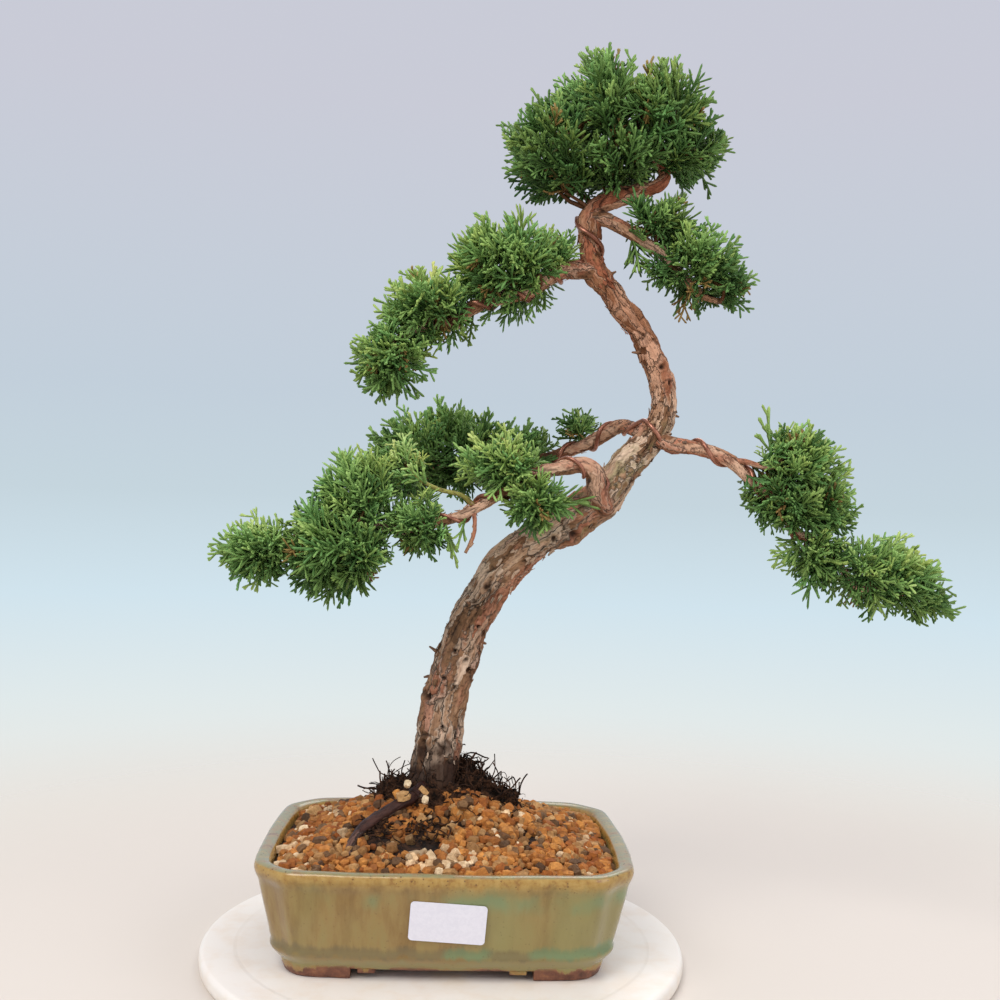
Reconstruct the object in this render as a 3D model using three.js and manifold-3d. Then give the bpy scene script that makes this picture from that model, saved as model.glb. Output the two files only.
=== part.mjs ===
// A wired juniper bonsai in a glazed rectangular pot. Millimetres, +Z up, front towards -Y.
import * as THREE from 'three';
import { mergeVertices } from 'three/addons/utils/BufferGeometryUtils.js';
import Module from 'manifold-3d';

const wasm = await Module();
wasm.setup();

// --- Driving dimensions ---------------------------------------------------------------------

const gap = 0.3; // left between pieces that touch

// Pot, measured at the rim
const potWidth = 196;
const potDepth = 156;
const potHeight = 57;
const cornerCut = 19; // how much of each corner is canted off
const sideBow = 2.5; // the sides swell by this much between their corners
const wallLean = 8.8; // the wall comes in by this much from rim to base belt
const lipWidth = 8.5;
const floorThickness = 8;
const beltHeight = 14; // crest of the moulding round the base
const baseUndercut = 6.5; // from the belt in to the foot line

// Feet
const footHeight = 5;
const footLength = 38; // along the long sides, from the corner
const footDepthLength = 30; // along the short sides, from the corner
const footThickness = 11;
const toothLength = 8; // little step beside each foot
const toothDrop = 2;

// Drainage
const drainSpacing = 80;
const drainRadius = 9;
const screenSize = 30;
const screenThickness = 1.2;
const screenBar = 1.6;
const screenHoles = 4; // per side, an even number
const clipWireRadius = 0.8;
const clipBend = 1.6; // radius of the clip's bends

// Substrate and roots
const soilDrop = 4; // substrate below the rim at the wall
const soilRise = 29; // mound above its edge
const soilFloorRise = 1.6; // substrate starts this far above the floor, over the screens
const matWidth = 80;
const matDepth = 58;
const matThickness = 8; // of the fibrous root mat above the mound's top

// Tree
const trunkX = -7;
const trunkY = 10;
const girth = 1; // scales the radius of every limb
const trainingWireRadius = 1.6;
const wireStandOff = 0.8; // bark to wire
const tunnelSlack = 1; // more room where a limb or wire runs through foliage

// Sticker
const labelWidth = 38;
const labelHeight = 21;
const labelThickness = 0.25;
const labelRadius = 2;
const labelX = 2;
const labelZ = 33;
const labelTilt = -0.055;

// --- Solids and meshes ----------------------------------------------------------------------

const bonsai = new THREE.Group();
bonsai.name = 'bonsai';

function solid(geometry) {
  const bare = geometry.index ? geometry.toNonIndexed() : geometry.clone();
  for (const name of Object.keys(bare.attributes)) {
    if (name !== 'position') bare.deleteAttribute(name);
  }
  const merged = mergeVertices(bare, 1e-4);
  return new wasm.Manifold(new wasm.Mesh({
    numProp: 3,
    vertProperties: new Float32Array(merged.attributes.position.array),
    triVerts: new Uint32Array(merged.index.array),
  }));
}

function geometryOf(body) {
  const mesh = body.getMesh();
  const geometry = new THREE.BufferGeometry();
  geometry.setAttribute('position', new THREE.BufferAttribute(new Float32Array(mesh.vertProperties), 3));
  geometry.setIndex(new THREE.BufferAttribute(new Uint32Array(mesh.triVerts), 1));
  geometry.computeVertexNormals();
  return geometry;
}

// What is left of a cut piece is its largest body; slivers cut loose are dropped
function largest(body) {
  return body.decompose().sort((a, b) => b.volume() - a.volume())[0];
}

function cut(body, ...tools) {
  return tools.reduce((left, tool) => left.subtract(tool), body);
}

function addMesh(name, body, material) {
  const mesh = new THREE.Mesh(geometryOf(largest(body)), material);
  mesh.name = name;
  bonsai.add(mesh);
}

function finish(color, roughness, metalness = 0) {
  return new THREE.MeshStandardMaterial({ color, roughness, metalness });
}

const glaze = finish(0x9c8a5a, 0.25);
const darkPlastic = finish(0x1d1f1e, 0.6);
const steelWire = finish(0x9a9a98, 0.35, 1);
const grit = finish(0xa5713f, 0.95);
const rootFibre = finish(0x2c211b, 0.95);
const rootBark = finish(0x4a2c24, 0.7);
const bark = finish(0x98735c, 0.9);
const greenBark = finish(0x8a9a45, 0.7);
const copperWire = finish(0x7d4a3c, 0.35, 0.9);
const foliage = finish(0x3f7a34, 0.75);
const paper = finish(0xf3f1f4, 0.6);

// A closed solid through rings that all have the same number of points, with flat fans as ends
function loft(rings) {
  const count = rings[0].length;
  const points = rings.flat();
  const first = points.length;
  points.push(middleOf(rings[0]), middleOf(rings[rings.length - 1]));
  const index = [];
  for (let ring = 0; ring < rings.length - 1; ring += 1) {
    for (let i = 0; i < count; i += 1) {
      const a = ring * count + i;
      const b = ring * count + (i + 1) % count;
      index.push(a, b, b + count, a, b + count, a + count);
    }
  }
  const last = (rings.length - 1) * count;
  for (let i = 0; i < count; i += 1) {
    index.push(first, (i + 1) % count, i);
    index.push(first + 1, last + i, last + (i + 1) % count);
  }
  const geometry = new THREE.BufferGeometry().setFromPoints(points);
  geometry.setIndex(index);
  return geometry;
}

function middleOf(ring) {
  const sum = ring.reduce((total, point) => total.add(point), new THREE.Vector3());
  return sum.divideScalar(ring.length);
}

function boxSolid(width, depth, height, x, y, z) {
  const geometry = new THREE.BoxGeometry(width, depth, height);
  return solid(geometry.translate(x, y, z));
}

// --- Pot --------------------------------------------------------------------------------------

// Plan outline at a height: a rectangle with swelling sides and canted, coved corners
function potOutline(inset, cove, z) {
  const halfWidth = potWidth / 2 - inset;
  const halfDepth = potDepth / 2 - inset;
  const cant = cornerCut - inset * (2 - Math.SQRT2);
  const sideSteps = 3;
  const cornerSteps = 5;
  const quarter = [];
  for (let i = 0; i <= sideSteps; i += 1) {
    const t = i / sideSteps;
    quarter.push([halfWidth - sideBow * t * t, (halfDepth - cant) * t]);
  }
  for (let i = 1; i < cornerSteps; i += 1) {
    const t = i / cornerSteps;
    const inwards = cove * 4 * t * (1 - t) / Math.SQRT2;
    const run = cant - sideBow;
    quarter.push([halfWidth - sideBow - run * t - inwards, halfDepth - cant + run * t - inwards]);
  }
  for (let i = sideSteps; i >= 0; i -= 1) {
    const t = i / sideSteps;
    quarter.push([(halfWidth - cant) * t, halfDepth - sideBow * t * t]);
  }
  const half = [...quarter, ...quarter.slice(0, -1).reverse().map(([x, y]) => [-x, y])];
  const loop = [...half, ...half.slice(1, -1).reverse().map(([x, y]) => [x, -y])];
  return loop.map(([x, y]) => new THREE.Vector3(x, y, z));
}

// Outside of the pot from the underside up: height, inset from the rim, depth of the corner cove
const footInset = wallLean + baseUndercut;
const potProfile = [
  [footHeight, footInset, 1.5],
  [footHeight + 3, footInset - 1.5, 1.5],
  [beltHeight - 4, wallLean + 2.4, 1.2],
  [beltHeight, wallLean, 1],
  [beltHeight + 4, wallLean - 0.2, 3.2],
  [potHeight - 11, 2.4, 3],
  [potHeight - 7, 0.9, 1.6],
  [potHeight - 2.5, 0, 1],
  [potHeight, 1.8, 1],
];

function wallInset(z) {
  const above = potProfile.findIndex(([height]) => height >= z);
  const [z0, inset0] = potProfile[above - 1];
  const [z1, inset1] = potProfile[above];
  return THREE.MathUtils.mapLinear(z, z0, z1, inset0, inset1);
}

const floorTop = footHeight + floorThickness;
const floorInset = footInset + 1;

// Inside of the pot at a height, drawn in by a clearance
function cavityOutline(z, clearance) {
  const up = (z - floorTop) / (potHeight - floorTop);
  const inset = THREE.MathUtils.lerp(floorInset, lipWidth, up);
  return potOutline(inset + clearance, 1, z);
}

function drainHoles(radius, height, z) {
  return [-1, 1].map((side) => {
    const hole = new THREE.CylinderGeometry(radius, radius, height, 20);
    return solid(hole.rotateX(Math.PI / 2).translate(side * drainSpacing / 2, 0, z));
  });
}

function potFeet() {
  const top = footHeight + 3;
  const outer = loft([potOutline(footInset + 1.2, 1.5, 0), potOutline(footInset - 1.5, 1.5, top)]);
  const inner = loft([
    potOutline(footInset + footThickness, 0, -1),
    potOutline(footInset + footThickness, 0, top + 1),
  ]);
  const longGap = potWidth - 2 * (footInset + footLength);
  const shortGap = potDepth - 2 * (footInset + footDepthLength);
  return cut(
    solid(outer),
    solid(inner),
    boxSolid(longGap, potDepth, 2 * top + 2, 0, 0, 0),
    boxSolid(potWidth, shortGap, 2 * top + 2, 0, 0, 0),
  );
}

function footTeeth() {
  const x = potWidth / 2 - footInset - footLength - toothLength;
  const y = potDepth / 2 - footInset - toothLength / 2 - 1;
  const height = toothDrop + 1;
  const teeth = [];
  for (const side of [-1, 1]) {
    for (const end of [-1, 1]) {
      teeth.push(boxSolid(toothLength, toothLength, height, side * x, end * y, footHeight + 1 - height / 2));
    }
  }
  return teeth;
}

function makePot() {
  const outside = solid(loft(potProfile.map(([z, inset, cove]) => potOutline(inset, cove, z))));
  const cavity = solid(loft([cavityOutline(floorTop, 0), cavityOutline(potHeight + 1, 0)]));
  const shell = cut(outside, cavity, ...drainHoles(drainRadius, 4 * floorTop, 0));
  return [potFeet(), ...footTeeth()].reduce((whole, piece) => whole.add(piece), shell);
}

addMesh('pot', makePot(), glaze);

// --- Drain screens and the clips that hold them -----------------------------------------------

const screenZ = floorTop + gap;
const screenTop = screenZ + screenThickness;
const holePitch = (screenSize - screenBar) / screenHoles;

function makeScreen(x) {
  const z = screenZ + screenThickness / 2;
  const openings = [];
  for (let i = 0; i < screenHoles; i += 1) {
    for (let j = 0; j < screenHoles; j += 1) {
      const dx = (i - (screenHoles - 1) / 2) * holePitch;
      const dy = (j - (screenHoles - 1) / 2) * holePitch;
      const side = holePitch - screenBar;
      openings.push(boxSolid(side, side, 3 * screenThickness, x + dx, dy, z));
    }
  }
  return cut(boxSolid(screenSize, screenSize, screenThickness, x, 0, z), ...openings);
}

function polygon(radius, sides) {
  const points = [];
  for (let i = 0; i < sides; i += 1) {
    const angle = 2 * Math.PI * (i + 0.5) / sides;
    points.push(new THREE.Vector2(radius * Math.cos(angle), radius * Math.sin(angle)));
  }
  return new THREE.Shape(points);
}

function rodAlong(points, radius, steps, sides) {
  const extrudePath = new THREE.CatmullRomCurve3(points, false, 'centripetal');
  return solid(new THREE.ExtrudeGeometry(polygon(radius, sides), { steps, extrudePath }));
}

// A staple over the screen, down through two of its holes and the drain hole, spread below
function makeClip(x) {
  const leg = holePitch; // each leg stands in the middle of a screen hole
  const legX = leg / 2;
  const top = screenTop + gap + clipWireRadius;
  const low = footHeight - gap - clipWireRadius - 0.1;
  const reach = drainRadius + 4;
  const y = holePitch / 2;
  const side = (s) => [
    [s * reach, low], [s * (legX + 2 * clipBend), low], [s * (legX + 0.3 * clipBend), low + 0.4],
    [s * legX, low + 1.4 * clipBend], [s * legX, (low + top) / 2], [s * legX, top - 1.2 * clipBend],
    [s * (legX - 0.3 * clipBend), top - 0.3 * clipBend],
  ];
  const path = [...side(-1), [0, top], ...side(1).reverse()];
  return rodAlong(path.map(([dx, z]) => new THREE.Vector3(x + dx, y, z)), clipWireRadius, 22, 5);
}

for (const [name, side] of [['left', -1], ['right', 1]]) {
  const x = side * drainSpacing / 2;
  addMesh(`drain_screen_${name}`, makeScreen(x), darkPlastic);
  addMesh(`screen_clip_${name}`, makeClip(x), steelWire);
}

// --- Limbs: tapered round solids along a smooth line -------------------------------------------

const soilEdgeZ = potHeight - soilDrop;
const soilTopZ = soilEdgeZ + soilRise;

// A limb's line is a list of [x, y, z, radius], measured from the trunk's foot at the mound's top
class Limb {
  constructor(line, steps, sides) {
    const base = new THREE.Vector3(trunkX, trunkY, soilTopZ);
    const points = line.map(([x, y, z]) => new THREE.Vector3(x, y, z).add(base));
    this.curve = new THREE.CatmullRomCurve3(points, false, 'centripetal');
    this.radii = line.map(([, , , radius]) => radius * girth);
    this.steps = steps;
    this.sides = sides;
    this.frames = this.curve.computeFrenetFrames(steps);
  }

  // The curve's own parameter runs evenly from one listed point to the next
  radiusAt(u) {
    const t = this.curve.getUtoTmapping(u, 0) * (this.radii.length - 1);
    const i = Math.min(Math.floor(t), this.radii.length - 2);
    return THREE.MathUtils.lerp(this.radii[i], this.radii[i + 1], t - i);
  }

  // The point at a station along the limb and an angle round it, at some distance from its middle
  place(u, angle, reach) {
    const at = u * this.steps;
    const i = Math.min(Math.floor(at), this.steps - 1);
    const normal = this.frames.normals[i].clone().lerp(this.frames.normals[i + 1], at - i).normalize();
    const binormal = this.frames.binormals[i].clone().lerp(this.frames.binormals[i + 1], at - i).normalize();
    return this.curve.getPointAt(u)
      .addScaledVector(normal, reach * Math.cos(angle))
      .addScaledVector(binormal, reach * Math.sin(angle));
  }

  solid(extra = 0, steps = this.steps, sides = this.sides) {
    const rings = [];
    for (let i = 0; i <= steps; i += 1) {
      const u = i / steps;
      const reach = this.radiusAt(u) + extra;
      const ring = [];
      for (let k = 0; k < sides; k += 1) ring.push(this.place(u, 2 * Math.PI * k / sides, reach));
      rings.push(ring);
    }
    return solid(loft(rings));
  }

  // A plain tunnel, coarser than the limb, that clears it by at least this much
  tunnel(clearance) {
    const sides = 6;
    const chord = 1 / Math.cos(Math.PI / sides) - 1;
    const extra = clearance + tunnelSlack + chord * (this.radii[0] + clearance);
    return this.solid(extra, Math.ceil(this.steps * 0.5), sides);
  }

  // Points of a wire coiled round the limb between two stations
  coil(from, to, startAngle, turns) {
    const count = Math.round(Math.abs(turns) * 8);
    const points = [];
    for (let i = 0; i <= count; i += 1) {
      const u = THREE.MathUtils.lerp(from, to, i / count);
      const reach = this.radiusAt(u) + wireStandOff + trainingWireRadius;
      points.push(this.place(u, startAngle + 2 * Math.PI * turns * i / count, reach));
    }
    return points;
  }
}

const trunk = new Limb([
  [1, 2, -26, 15], [0, 1, -8, 14.2], [0, 0, 6, 12.6], [0.5, 0, 23, 12.2], [2.5, -1, 41, 12],
  [6, -2, 58, 11.7], [11, -3, 76, 11.7], [17, -4, 93.5, 10.9], [23, -5, 105, 10.7], [31, -6, 118, 10.7],
  [41, -7, 129, 10.7], [51, -8, 138, 10.7], [62, -8, 146, 10.7], [73, -8, 154, 10.5],
  [84, -8, 162, 10.2], [93, -7, 170, 9.4], [99, -6, 179, 8.8], [106, -5, 188, 8.5], [116, -4, 199, 8],
  [122.5, -3, 212, 6.9], [123.5, -3, 223, 6.4], [121.5, -3, 234, 6.2], [117, -3, 244, 5.9],
  [112.5, -3, 253, 5.9], [108.5, -3, 261, 6.3], [101.5, -4, 269.5, 6.8], [95.5, -5, 276, 6.3],
  [90, -6, 284, 5.9], [83, -6, 293, 6.5], [79, -6, 303, 6.1], [77.5, -6, 314, 6], [77, -6, 322, 5.6],
  [81, -6, 330, 5], [88, -6, 334, 4.7], [96, -8, 336.5, 4.5], [110, -10, 341, 4], [120, -9, 349, 3.2],
  [115, -8, 360, 2.6], [106, -6, 372, 2],
], 60, 10);

const lowLeft = new Limb([
  [90, -6, 153, 6.4], [86.5, -14, 157, 6.1], [85, -20, 164, 5.8], [84, -24, 171, 5.5], [82, -28, 178, 5.2],
  [75, -31, 181.5, 4.6], [62, -33, 179.5, 3.9], [50.5, -35, 176.5, 3.5], [34.5, -37, 167.5, 3.3],
  [24, -39, 161, 3.2], [8.5, -42, 152, 2.9], [-2, -43, 148.5, 2.6], [-18, -45, 144, 2.2],
  [-38, -47, 146, 1.9], [-57, -48, 148, 1.7], [-75, -50, 139, 1.5], [-92, -53, 130, 1.3],
], 38, 8);

const rearLeft = new Limb([
  [122, -3, 200, 4.4], [113, 4, 203.5, 4.1], [102, 16, 208, 3.9], [93.5, 24, 203, 3.9], [85, 30, 198, 3.8],
  [76, 36, 194, 3.6], [57, 42, 188, 3.3], [33, 46, 186, 3], [0, 50, 185, 2.5], [-22, 52, 180, 1.9],
], 24, 8);

const right = new Limb([
  [118, -4, 200, 5], [126.5, -11, 196.5, 4.4], [137, -18, 194.5, 4], [148, -22, 191.5, 3.7],
  [158, -25, 187, 3.4], [166, -27, 179, 3.1], [171, -28, 175, 2.9], [185.5, -29, 164.5, 2.7],
  [194, -30, 149.5, 2.5], [207.5, -30, 143, 2.3], [217, -30, 134, 2.2], [228, -30, 120.5, 2],
  [242, -30, 117.5, 1.8], [257, -30, 114, 1.4],
], 30, 8);

const midLeft = new Limb([
  [84, -6, 293, 5.4], [77.5, -9, 293, 5], [62, -13, 291, 4.5], [52.5, -17, 285, 4], [46, -20, 278.5, 3.7],
  [19, -26, 269.5, 3], [5, -28, 260, 2.7], [-9, -30, 255, 2.5], [-23, -32, 250, 2.2], [-31, -33, 244, 1.8],
], 24, 8);

const upperRight = new Limb([
  [77, -6, 323, 4.6], [84, -9, 323, 4.1], [95.5, -12, 318, 3.7], [107.5, -16, 309, 3.4],
  [116.5, -18, 304, 3.1], [130, -22, 288, 2.5], [139, -24, 279, 2], [149, -26, 275, 1.5],
], 22, 8);

// Small twigs off the branches
const rightTwig = new Limb([
  [158, -25, 187, 2], [164, -28, 187, 1.7], [178, -34, 184, 1.3], [185, -36, 190, 1],
], 8, 6);
const greenTwig = new Limb([
  [17, -40, 157, 1.6], [10, -44, 163, 1.3], [-3, -45, 166, 1.1], [-13, -44, 171, 1], [-19, -42, 178, 0.9],
], 10, 6);
const deadTwig = new Limb([
  [16, -40, 156, 1.5], [17, -43, 149, 1.2], [16.5, -44, 142, 1.1], [12.5, -45, 132.5, 0.8],
], 8, 6);

// Thick root that runs out of the trunk's foot and dives into the mound
const soilHalfWidth = potWidth / 2 - lipWidth;
const soilHalfDepth = potDepth / 2 - lipWidth;

function soilHeight(x, y) {
  const across = (x - trunkX) / (soilHalfWidth - Math.sign(x - trunkX) * trunkX);
  const along = (y - trunkY) / (soilHalfDepth - Math.sign(y - trunkY) * trunkY);
  const out = Math.min(1, (across ** 4 + along ** 4) ** 0.25);
  return soilEdgeZ + soilRise * (1 - out);
}

function onMound([x, y, above, radius]) {
  return [x, y, soilHeight(trunkX + x, trunkY + y) + above - soilTopZ, radius];
}

const surfaceRoot = new Limb([
  [-4, -8, 3, 6.5], [-10, -16, 2.6, 6], [-18, -25, 2.4, 5.5], [-28, -35, 2, 5], [-35, -46, 0.6, 4.4],
  [-39, -55, -3.5, 3.6],
].map(onMound), 16, 8);

// --- Training wires -----------------------------------------------------------------------------

function trainingWire(coils, extra = 0) {
  const path = coils.flat();
  return rodAlong(path, trainingWireRadius + extra, path.length, 5);
}

const turn = Math.PI * 2;
const wireRoutes = {
  wire_low_left: [
    trunk.coil(0.395, 0.43, 0.2 * turn, 0.75),
    lowLeft.coil(0.1, 0.62, 0.55 * turn, 4.6),
  ],
  wire_rear_to_right: [
    rearLeft.coil(0.72, 0.12, 0.1 * turn, 3.6),
    trunk.coil(0.57, 0.54, 0.35 * turn, 0.45),
    right.coil(0.1, 0.62, 0.05 * turn, 4.2),
  ],
  wire_upper: [
    trunk.coil(0.83, 0.775, 0.1 * turn, 0.8),
    midLeft.coil(0.12, 0.82, 0.3 * turn, 4.2),
  ],
};
const wires = Object.values(wireRoutes).map((coils) => trainingWire(coils));
// A wire's own solid is cut away too, because its room can fold over itself on a tight bend
const wireRoom = [...Object.values(wireRoutes).map((coils) => trainingWire(coils, gap)), ...wires];

Object.keys(wireRoutes).forEach((name, i) => addMesh(name, wires[i], copperWire));

// --- Trunk, branches and roots, each cut clear of what it grows from ------------------------------

const trunkRoom = trunk.solid(gap);

addMesh('trunk', cut(trunk.solid(), ...wireRoom), bark);
addMesh('branch_low_left', cut(lowLeft.solid(), trunkRoom, ...wireRoom), bark);
addMesh('branch_rear_left', cut(rearLeft.solid(), trunkRoom, ...wireRoom), bark);
addMesh('branch_right', cut(right.solid(), trunkRoom, ...wireRoom), bark);
addMesh('branch_mid_left', cut(midLeft.solid(), trunkRoom, ...wireRoom), bark);
addMesh('branch_upper_right', cut(upperRight.solid(), trunkRoom, ...wireRoom), bark);
addMesh('twig_right', cut(rightTwig.solid(), right.solid(gap), ...wireRoom), bark);
addMesh('twig_green', cut(greenTwig.solid(), lowLeft.solid(gap), ...wireRoom), greenBark);
addMesh('twig_dead', cut(deadTwig.solid(), lowLeft.solid(gap), greenTwig.solid(gap), ...wireRoom), bark);
addMesh('surface_root', cut(surfaceRoot.solid(), trunkRoom), rootBark);

// --- Substrate and root mat -----------------------------------------------------------------------

// The mound is a stack of rings that close in on the trunk's foot
function moundSolid(lift) {
  const bottomZ = floorTop + soilFloorRise + lift;
  const edge = cavityOutline(soilEdgeZ, gap);
  const rings = [cavityOutline(bottomZ, gap), edge.map((p) => p.clone().setZ(soilEdgeZ + lift))];
  const middle = new THREE.Vector3(trunkX, trunkY, 0);
  for (const inwards of [0.1, 0.25, 0.42, 0.6, 0.78, 0.94]) {
    rings.push(edge.map((p) => {
      const at = p.clone().lerp(middle, inwards);
      return at.setZ(soilHeight(at.x, at.y) + lift);
    }));
  }
  return solid(loft(rings));
}

const screenRoom = [-1, 1].map((side) => {
  const size = screenSize + 2 * gap;
  const height = 2 * (screenTop + 2 * gap + 2 * clipWireRadius - floorTop);
  return boxSolid(size, size, height, side * drainSpacing / 2, 0, floorTop);
});
const rootRoom = surfaceRoot.solid(gap);
addMesh('substrate', cut(moundSolid(0), trunkRoom, rootRoom, ...screenRoom), grit);

const mat = new THREE.IcosahedronGeometry(1, 2).scale(matWidth / 2, matDepth / 2, 2 * matThickness);
mat.translate(trunkX + 4, trunkY - 1, soilTopZ - matThickness);
addMesh('root_mat', cut(solid(mat), moundSolid(gap), trunkRoom, rootRoom), rootFibre);

// --- Foliage pads, as plain closed lumps with the limbs and wires running through ------------------

// Each pad is a list of lumps: [x, y, z, half width, half depth, half height] from the trunk's foot
const pads = {
  foliage_crown: [
    [51, -6, 363, 23, 40, 26], [80, -4, 389, 23, 44, 24], [116, -8, 386, 26, 44, 22],
    [137, -10, 364, 19, 30, 16], [95, -6, 356, 28, 40, 18], [80, -4, 408, 9, 14, 14],
  ],
  foliage_upper_right_inner: [[114, -18, 322, 19, 24, 11]],
  foliage_upper_right_outer: [[138, -24, 297, 23, 28, 21], [155, -26, 286, 14, 18, 13], [117, -20, 296, 11, 15, 10]],
  foliage_mid_left_inner: [[30, -18, 293, 32, 42, 24], [62, -10, 299, 11, 20, 11]],
  foliage_mid_left_outer: [[-11, -28, 266, 25, 34, 20]],
  foliage_mid_left_tip: [[-31, -34, 236, 20, 26, 20]],
  foliage_rear_left: [[0, 50, 192, 50, 32, 27], [46, 44, 191, 20, 28, 21], [-29, 52, 179, 22, 26, 21]],
  foliage_rear_sprig: [[78, 37, 209, 12, 12, 8]],
  foliage_low_left_tip: [[-95, -54, 133, 22, 24, 17]],
  foliage_low_left_mid: [[-55, -50, 133, 28, 36, 25], [-44, -46, 163, 19, 26, 22]],
  foliage_low_left_inner: [[-12, -44, 148, 16, 22, 17]],
  foliage_green_tuft: [[-22, -40, 181, 12, 12, 11]],
  foliage_front_tuft_upper: [[31, -40, 184, 21, 20, 14]],
  foliage_front_tuft_lower: [[50, -44, 160, 18, 18, 14]],
  foliage_right_upper: [[194, -34, 191, 25, 30, 20], [187, -30, 163, 28, 28, 17], [221, -30, 167, 13, 22, 21]],
  foliage_right_lower: [[204, -32, 134, 17, 20, 15]],
  foliage_right_outer: [[243, -32, 128, 27, 28, 21], [266, -32, 115, 15, 16, 11]],
};

const wireSleeve = wireStandOff + 2 * trainingWireRadius + gap;
const limbRoom = [
  trunk.tunnel(wireSleeve),
  ...[lowLeft, rearLeft, right, midLeft].map((limb) => limb.tunnel(wireSleeve)),
  ...[upperRight, rightTwig, greenTwig, deadTwig].map((limb) => limb.tunnel(gap)),
];

function padSolid(lumps, extra) {
  return lumps.map(([x, y, z, halfWidth, halfDepth, halfHeight]) => {
    const lump = new THREE.IcosahedronGeometry(1, 1);
    lump.scale(halfWidth + extra, halfDepth + extra, halfHeight + extra);
    return solid(lump.translate(trunkX + x, trunkY + y, soilTopZ + z));
  }).reduce((whole, lump) => whole.add(lump));
}

const earlierPads = [];
for (const [name, lumps] of Object.entries(pads)) {
  const pad = cut(padSolid(lumps, 0), ...limbRoom, ...earlierPads);
  earlierPads.push(padSolid(lumps, 2 * gap));
  addMesh(name, pad, foliage);
}

// --- Sticker on the front of the pot ----------------------------------------------------------------

function roundedRectangle(width, height, radius) {
  const x = width / 2 - radius;
  const y = height / 2 - radius;
  const outline = new THREE.Shape();
  outline.absarc(x, y, radius, 0, Math.PI / 2);
  outline.absarc(-x, y, radius, Math.PI / 2, Math.PI);
  outline.absarc(-x, -y, radius, Math.PI, 1.5 * Math.PI);
  outline.absarc(x, -y, radius, 1.5 * Math.PI, 2 * Math.PI);
  return outline.closePath();
}

const labelReach = labelHeight / 2;
const wallSlope = Math.atan2(wallInset(labelZ - labelReach) - wallInset(labelZ + labelReach), 2 * labelReach);
const labelSheet = new THREE.ExtrudeGeometry(roundedRectangle(labelWidth, labelHeight, labelRadius), {
  depth: labelThickness, bevelEnabled: false, curveSegments: 3,
});
const label = new THREE.Mesh(labelSheet, paper);
label.name = 'label';
label.geometry.rotateZ(labelTilt);
label.rotation.x = Math.PI / 2 + wallSlope;
label.position.set(labelX, -(potDepth / 2 - wallInset(labelZ)) - gap, labelZ);
bonsai.add(label);

// --- Origin: on the ground, under the middle of the whole ---------------------------------------------

bonsai.updateMatrixWorld(true);
const middle = new THREE.Box3().setFromObject(bonsai).getCenter(new THREE.Vector3());
bonsai.position.set(-middle.x, -middle.y, 0);

export default bonsai;
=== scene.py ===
import math
import random

import bpy
import numpy as np
from mathutils import Matrix, Vector, noise
from mathutils.kdtree import KDTree


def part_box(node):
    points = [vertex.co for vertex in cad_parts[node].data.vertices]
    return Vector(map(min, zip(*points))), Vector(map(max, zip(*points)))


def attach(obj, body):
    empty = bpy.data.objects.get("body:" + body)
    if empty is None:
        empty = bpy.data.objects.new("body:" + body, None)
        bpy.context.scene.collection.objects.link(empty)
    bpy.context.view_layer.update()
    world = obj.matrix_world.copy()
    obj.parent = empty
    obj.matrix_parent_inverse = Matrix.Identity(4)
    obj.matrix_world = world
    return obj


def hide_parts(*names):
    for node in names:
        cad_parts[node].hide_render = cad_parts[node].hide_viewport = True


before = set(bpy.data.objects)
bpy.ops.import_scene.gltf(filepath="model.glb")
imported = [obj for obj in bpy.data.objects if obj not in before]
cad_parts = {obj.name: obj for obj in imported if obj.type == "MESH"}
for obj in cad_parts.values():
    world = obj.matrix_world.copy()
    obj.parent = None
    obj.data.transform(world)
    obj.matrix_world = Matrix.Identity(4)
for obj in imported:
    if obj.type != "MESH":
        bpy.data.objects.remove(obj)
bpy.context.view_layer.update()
print("frame loaded:", len(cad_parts), "nodes")

# A wired juniper bonsai in a glazed pot. Lengths in the dictionaries are in mm, the scene is in metres.
mm = 0.001
turn = 2 * math.pi
potLow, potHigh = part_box("pot")
potMiddle = Vector(((potLow.x + potHigh.x) / 2, (potLow.y + potHigh.y) / 2, 0))
trunkX, trunkY, moundTop = -7, 10, 82  # the trunk's foot on the mound, from the middle of the pot
trunkFoot = potMiddle + Vector((trunkX, trunkY, moundTop)) * mm


# --- small tools


# A screen colour, 0 to 255, as the linear colour that a socket takes
def tone(red, green, blue):
    return tuple((part / 255) ** 2.2 for part in (red, green, blue)) + (1,)


def deselectAll():
    bpy.ops.object.select_all(action="DESELECT")


def useOnly(piece):
    deselectAll()
    piece.select_set(True)
    bpy.context.view_layer.objects.active = piece


def applyModifiers(piece):
    useOnly(piece)
    for modifier in list(piece.modifiers):
        bpy.ops.object.modifier_apply(modifier=modifier.name)


def shadeSmooth(piece, degrees):
    useOnly(piece)
    bpy.ops.object.shade_smooth_by_angle(angle=math.radians(degrees))


# A piece's points and its faces of three or four corners; the piece itself goes
def takeMesh(piece):
    points = np.array([v.co for v in piece.data.vertices])
    faces = np.array([list(f.vertices) + [-1] * (4 - len(f.vertices)) for f in piece.data.polygons])
    bpy.data.objects.remove(piece)
    return points, faces


def unit(way):
    return way / np.linalg.norm(way)


# A random offset in space
def shaken(draw, spread):
    return np.array([draw.gauss(0, spread) for axis in range(3)])


# Puts a finished piece on the model: its finish, the body it rides on and the CAD nodes it stands for
def settle(piece, material, slotName, *nodes):
    piece.data.materials.clear()
    piece.data.materials.append(material)
    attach(piece, "root")
    if nodes:
        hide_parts(*nodes)


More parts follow.
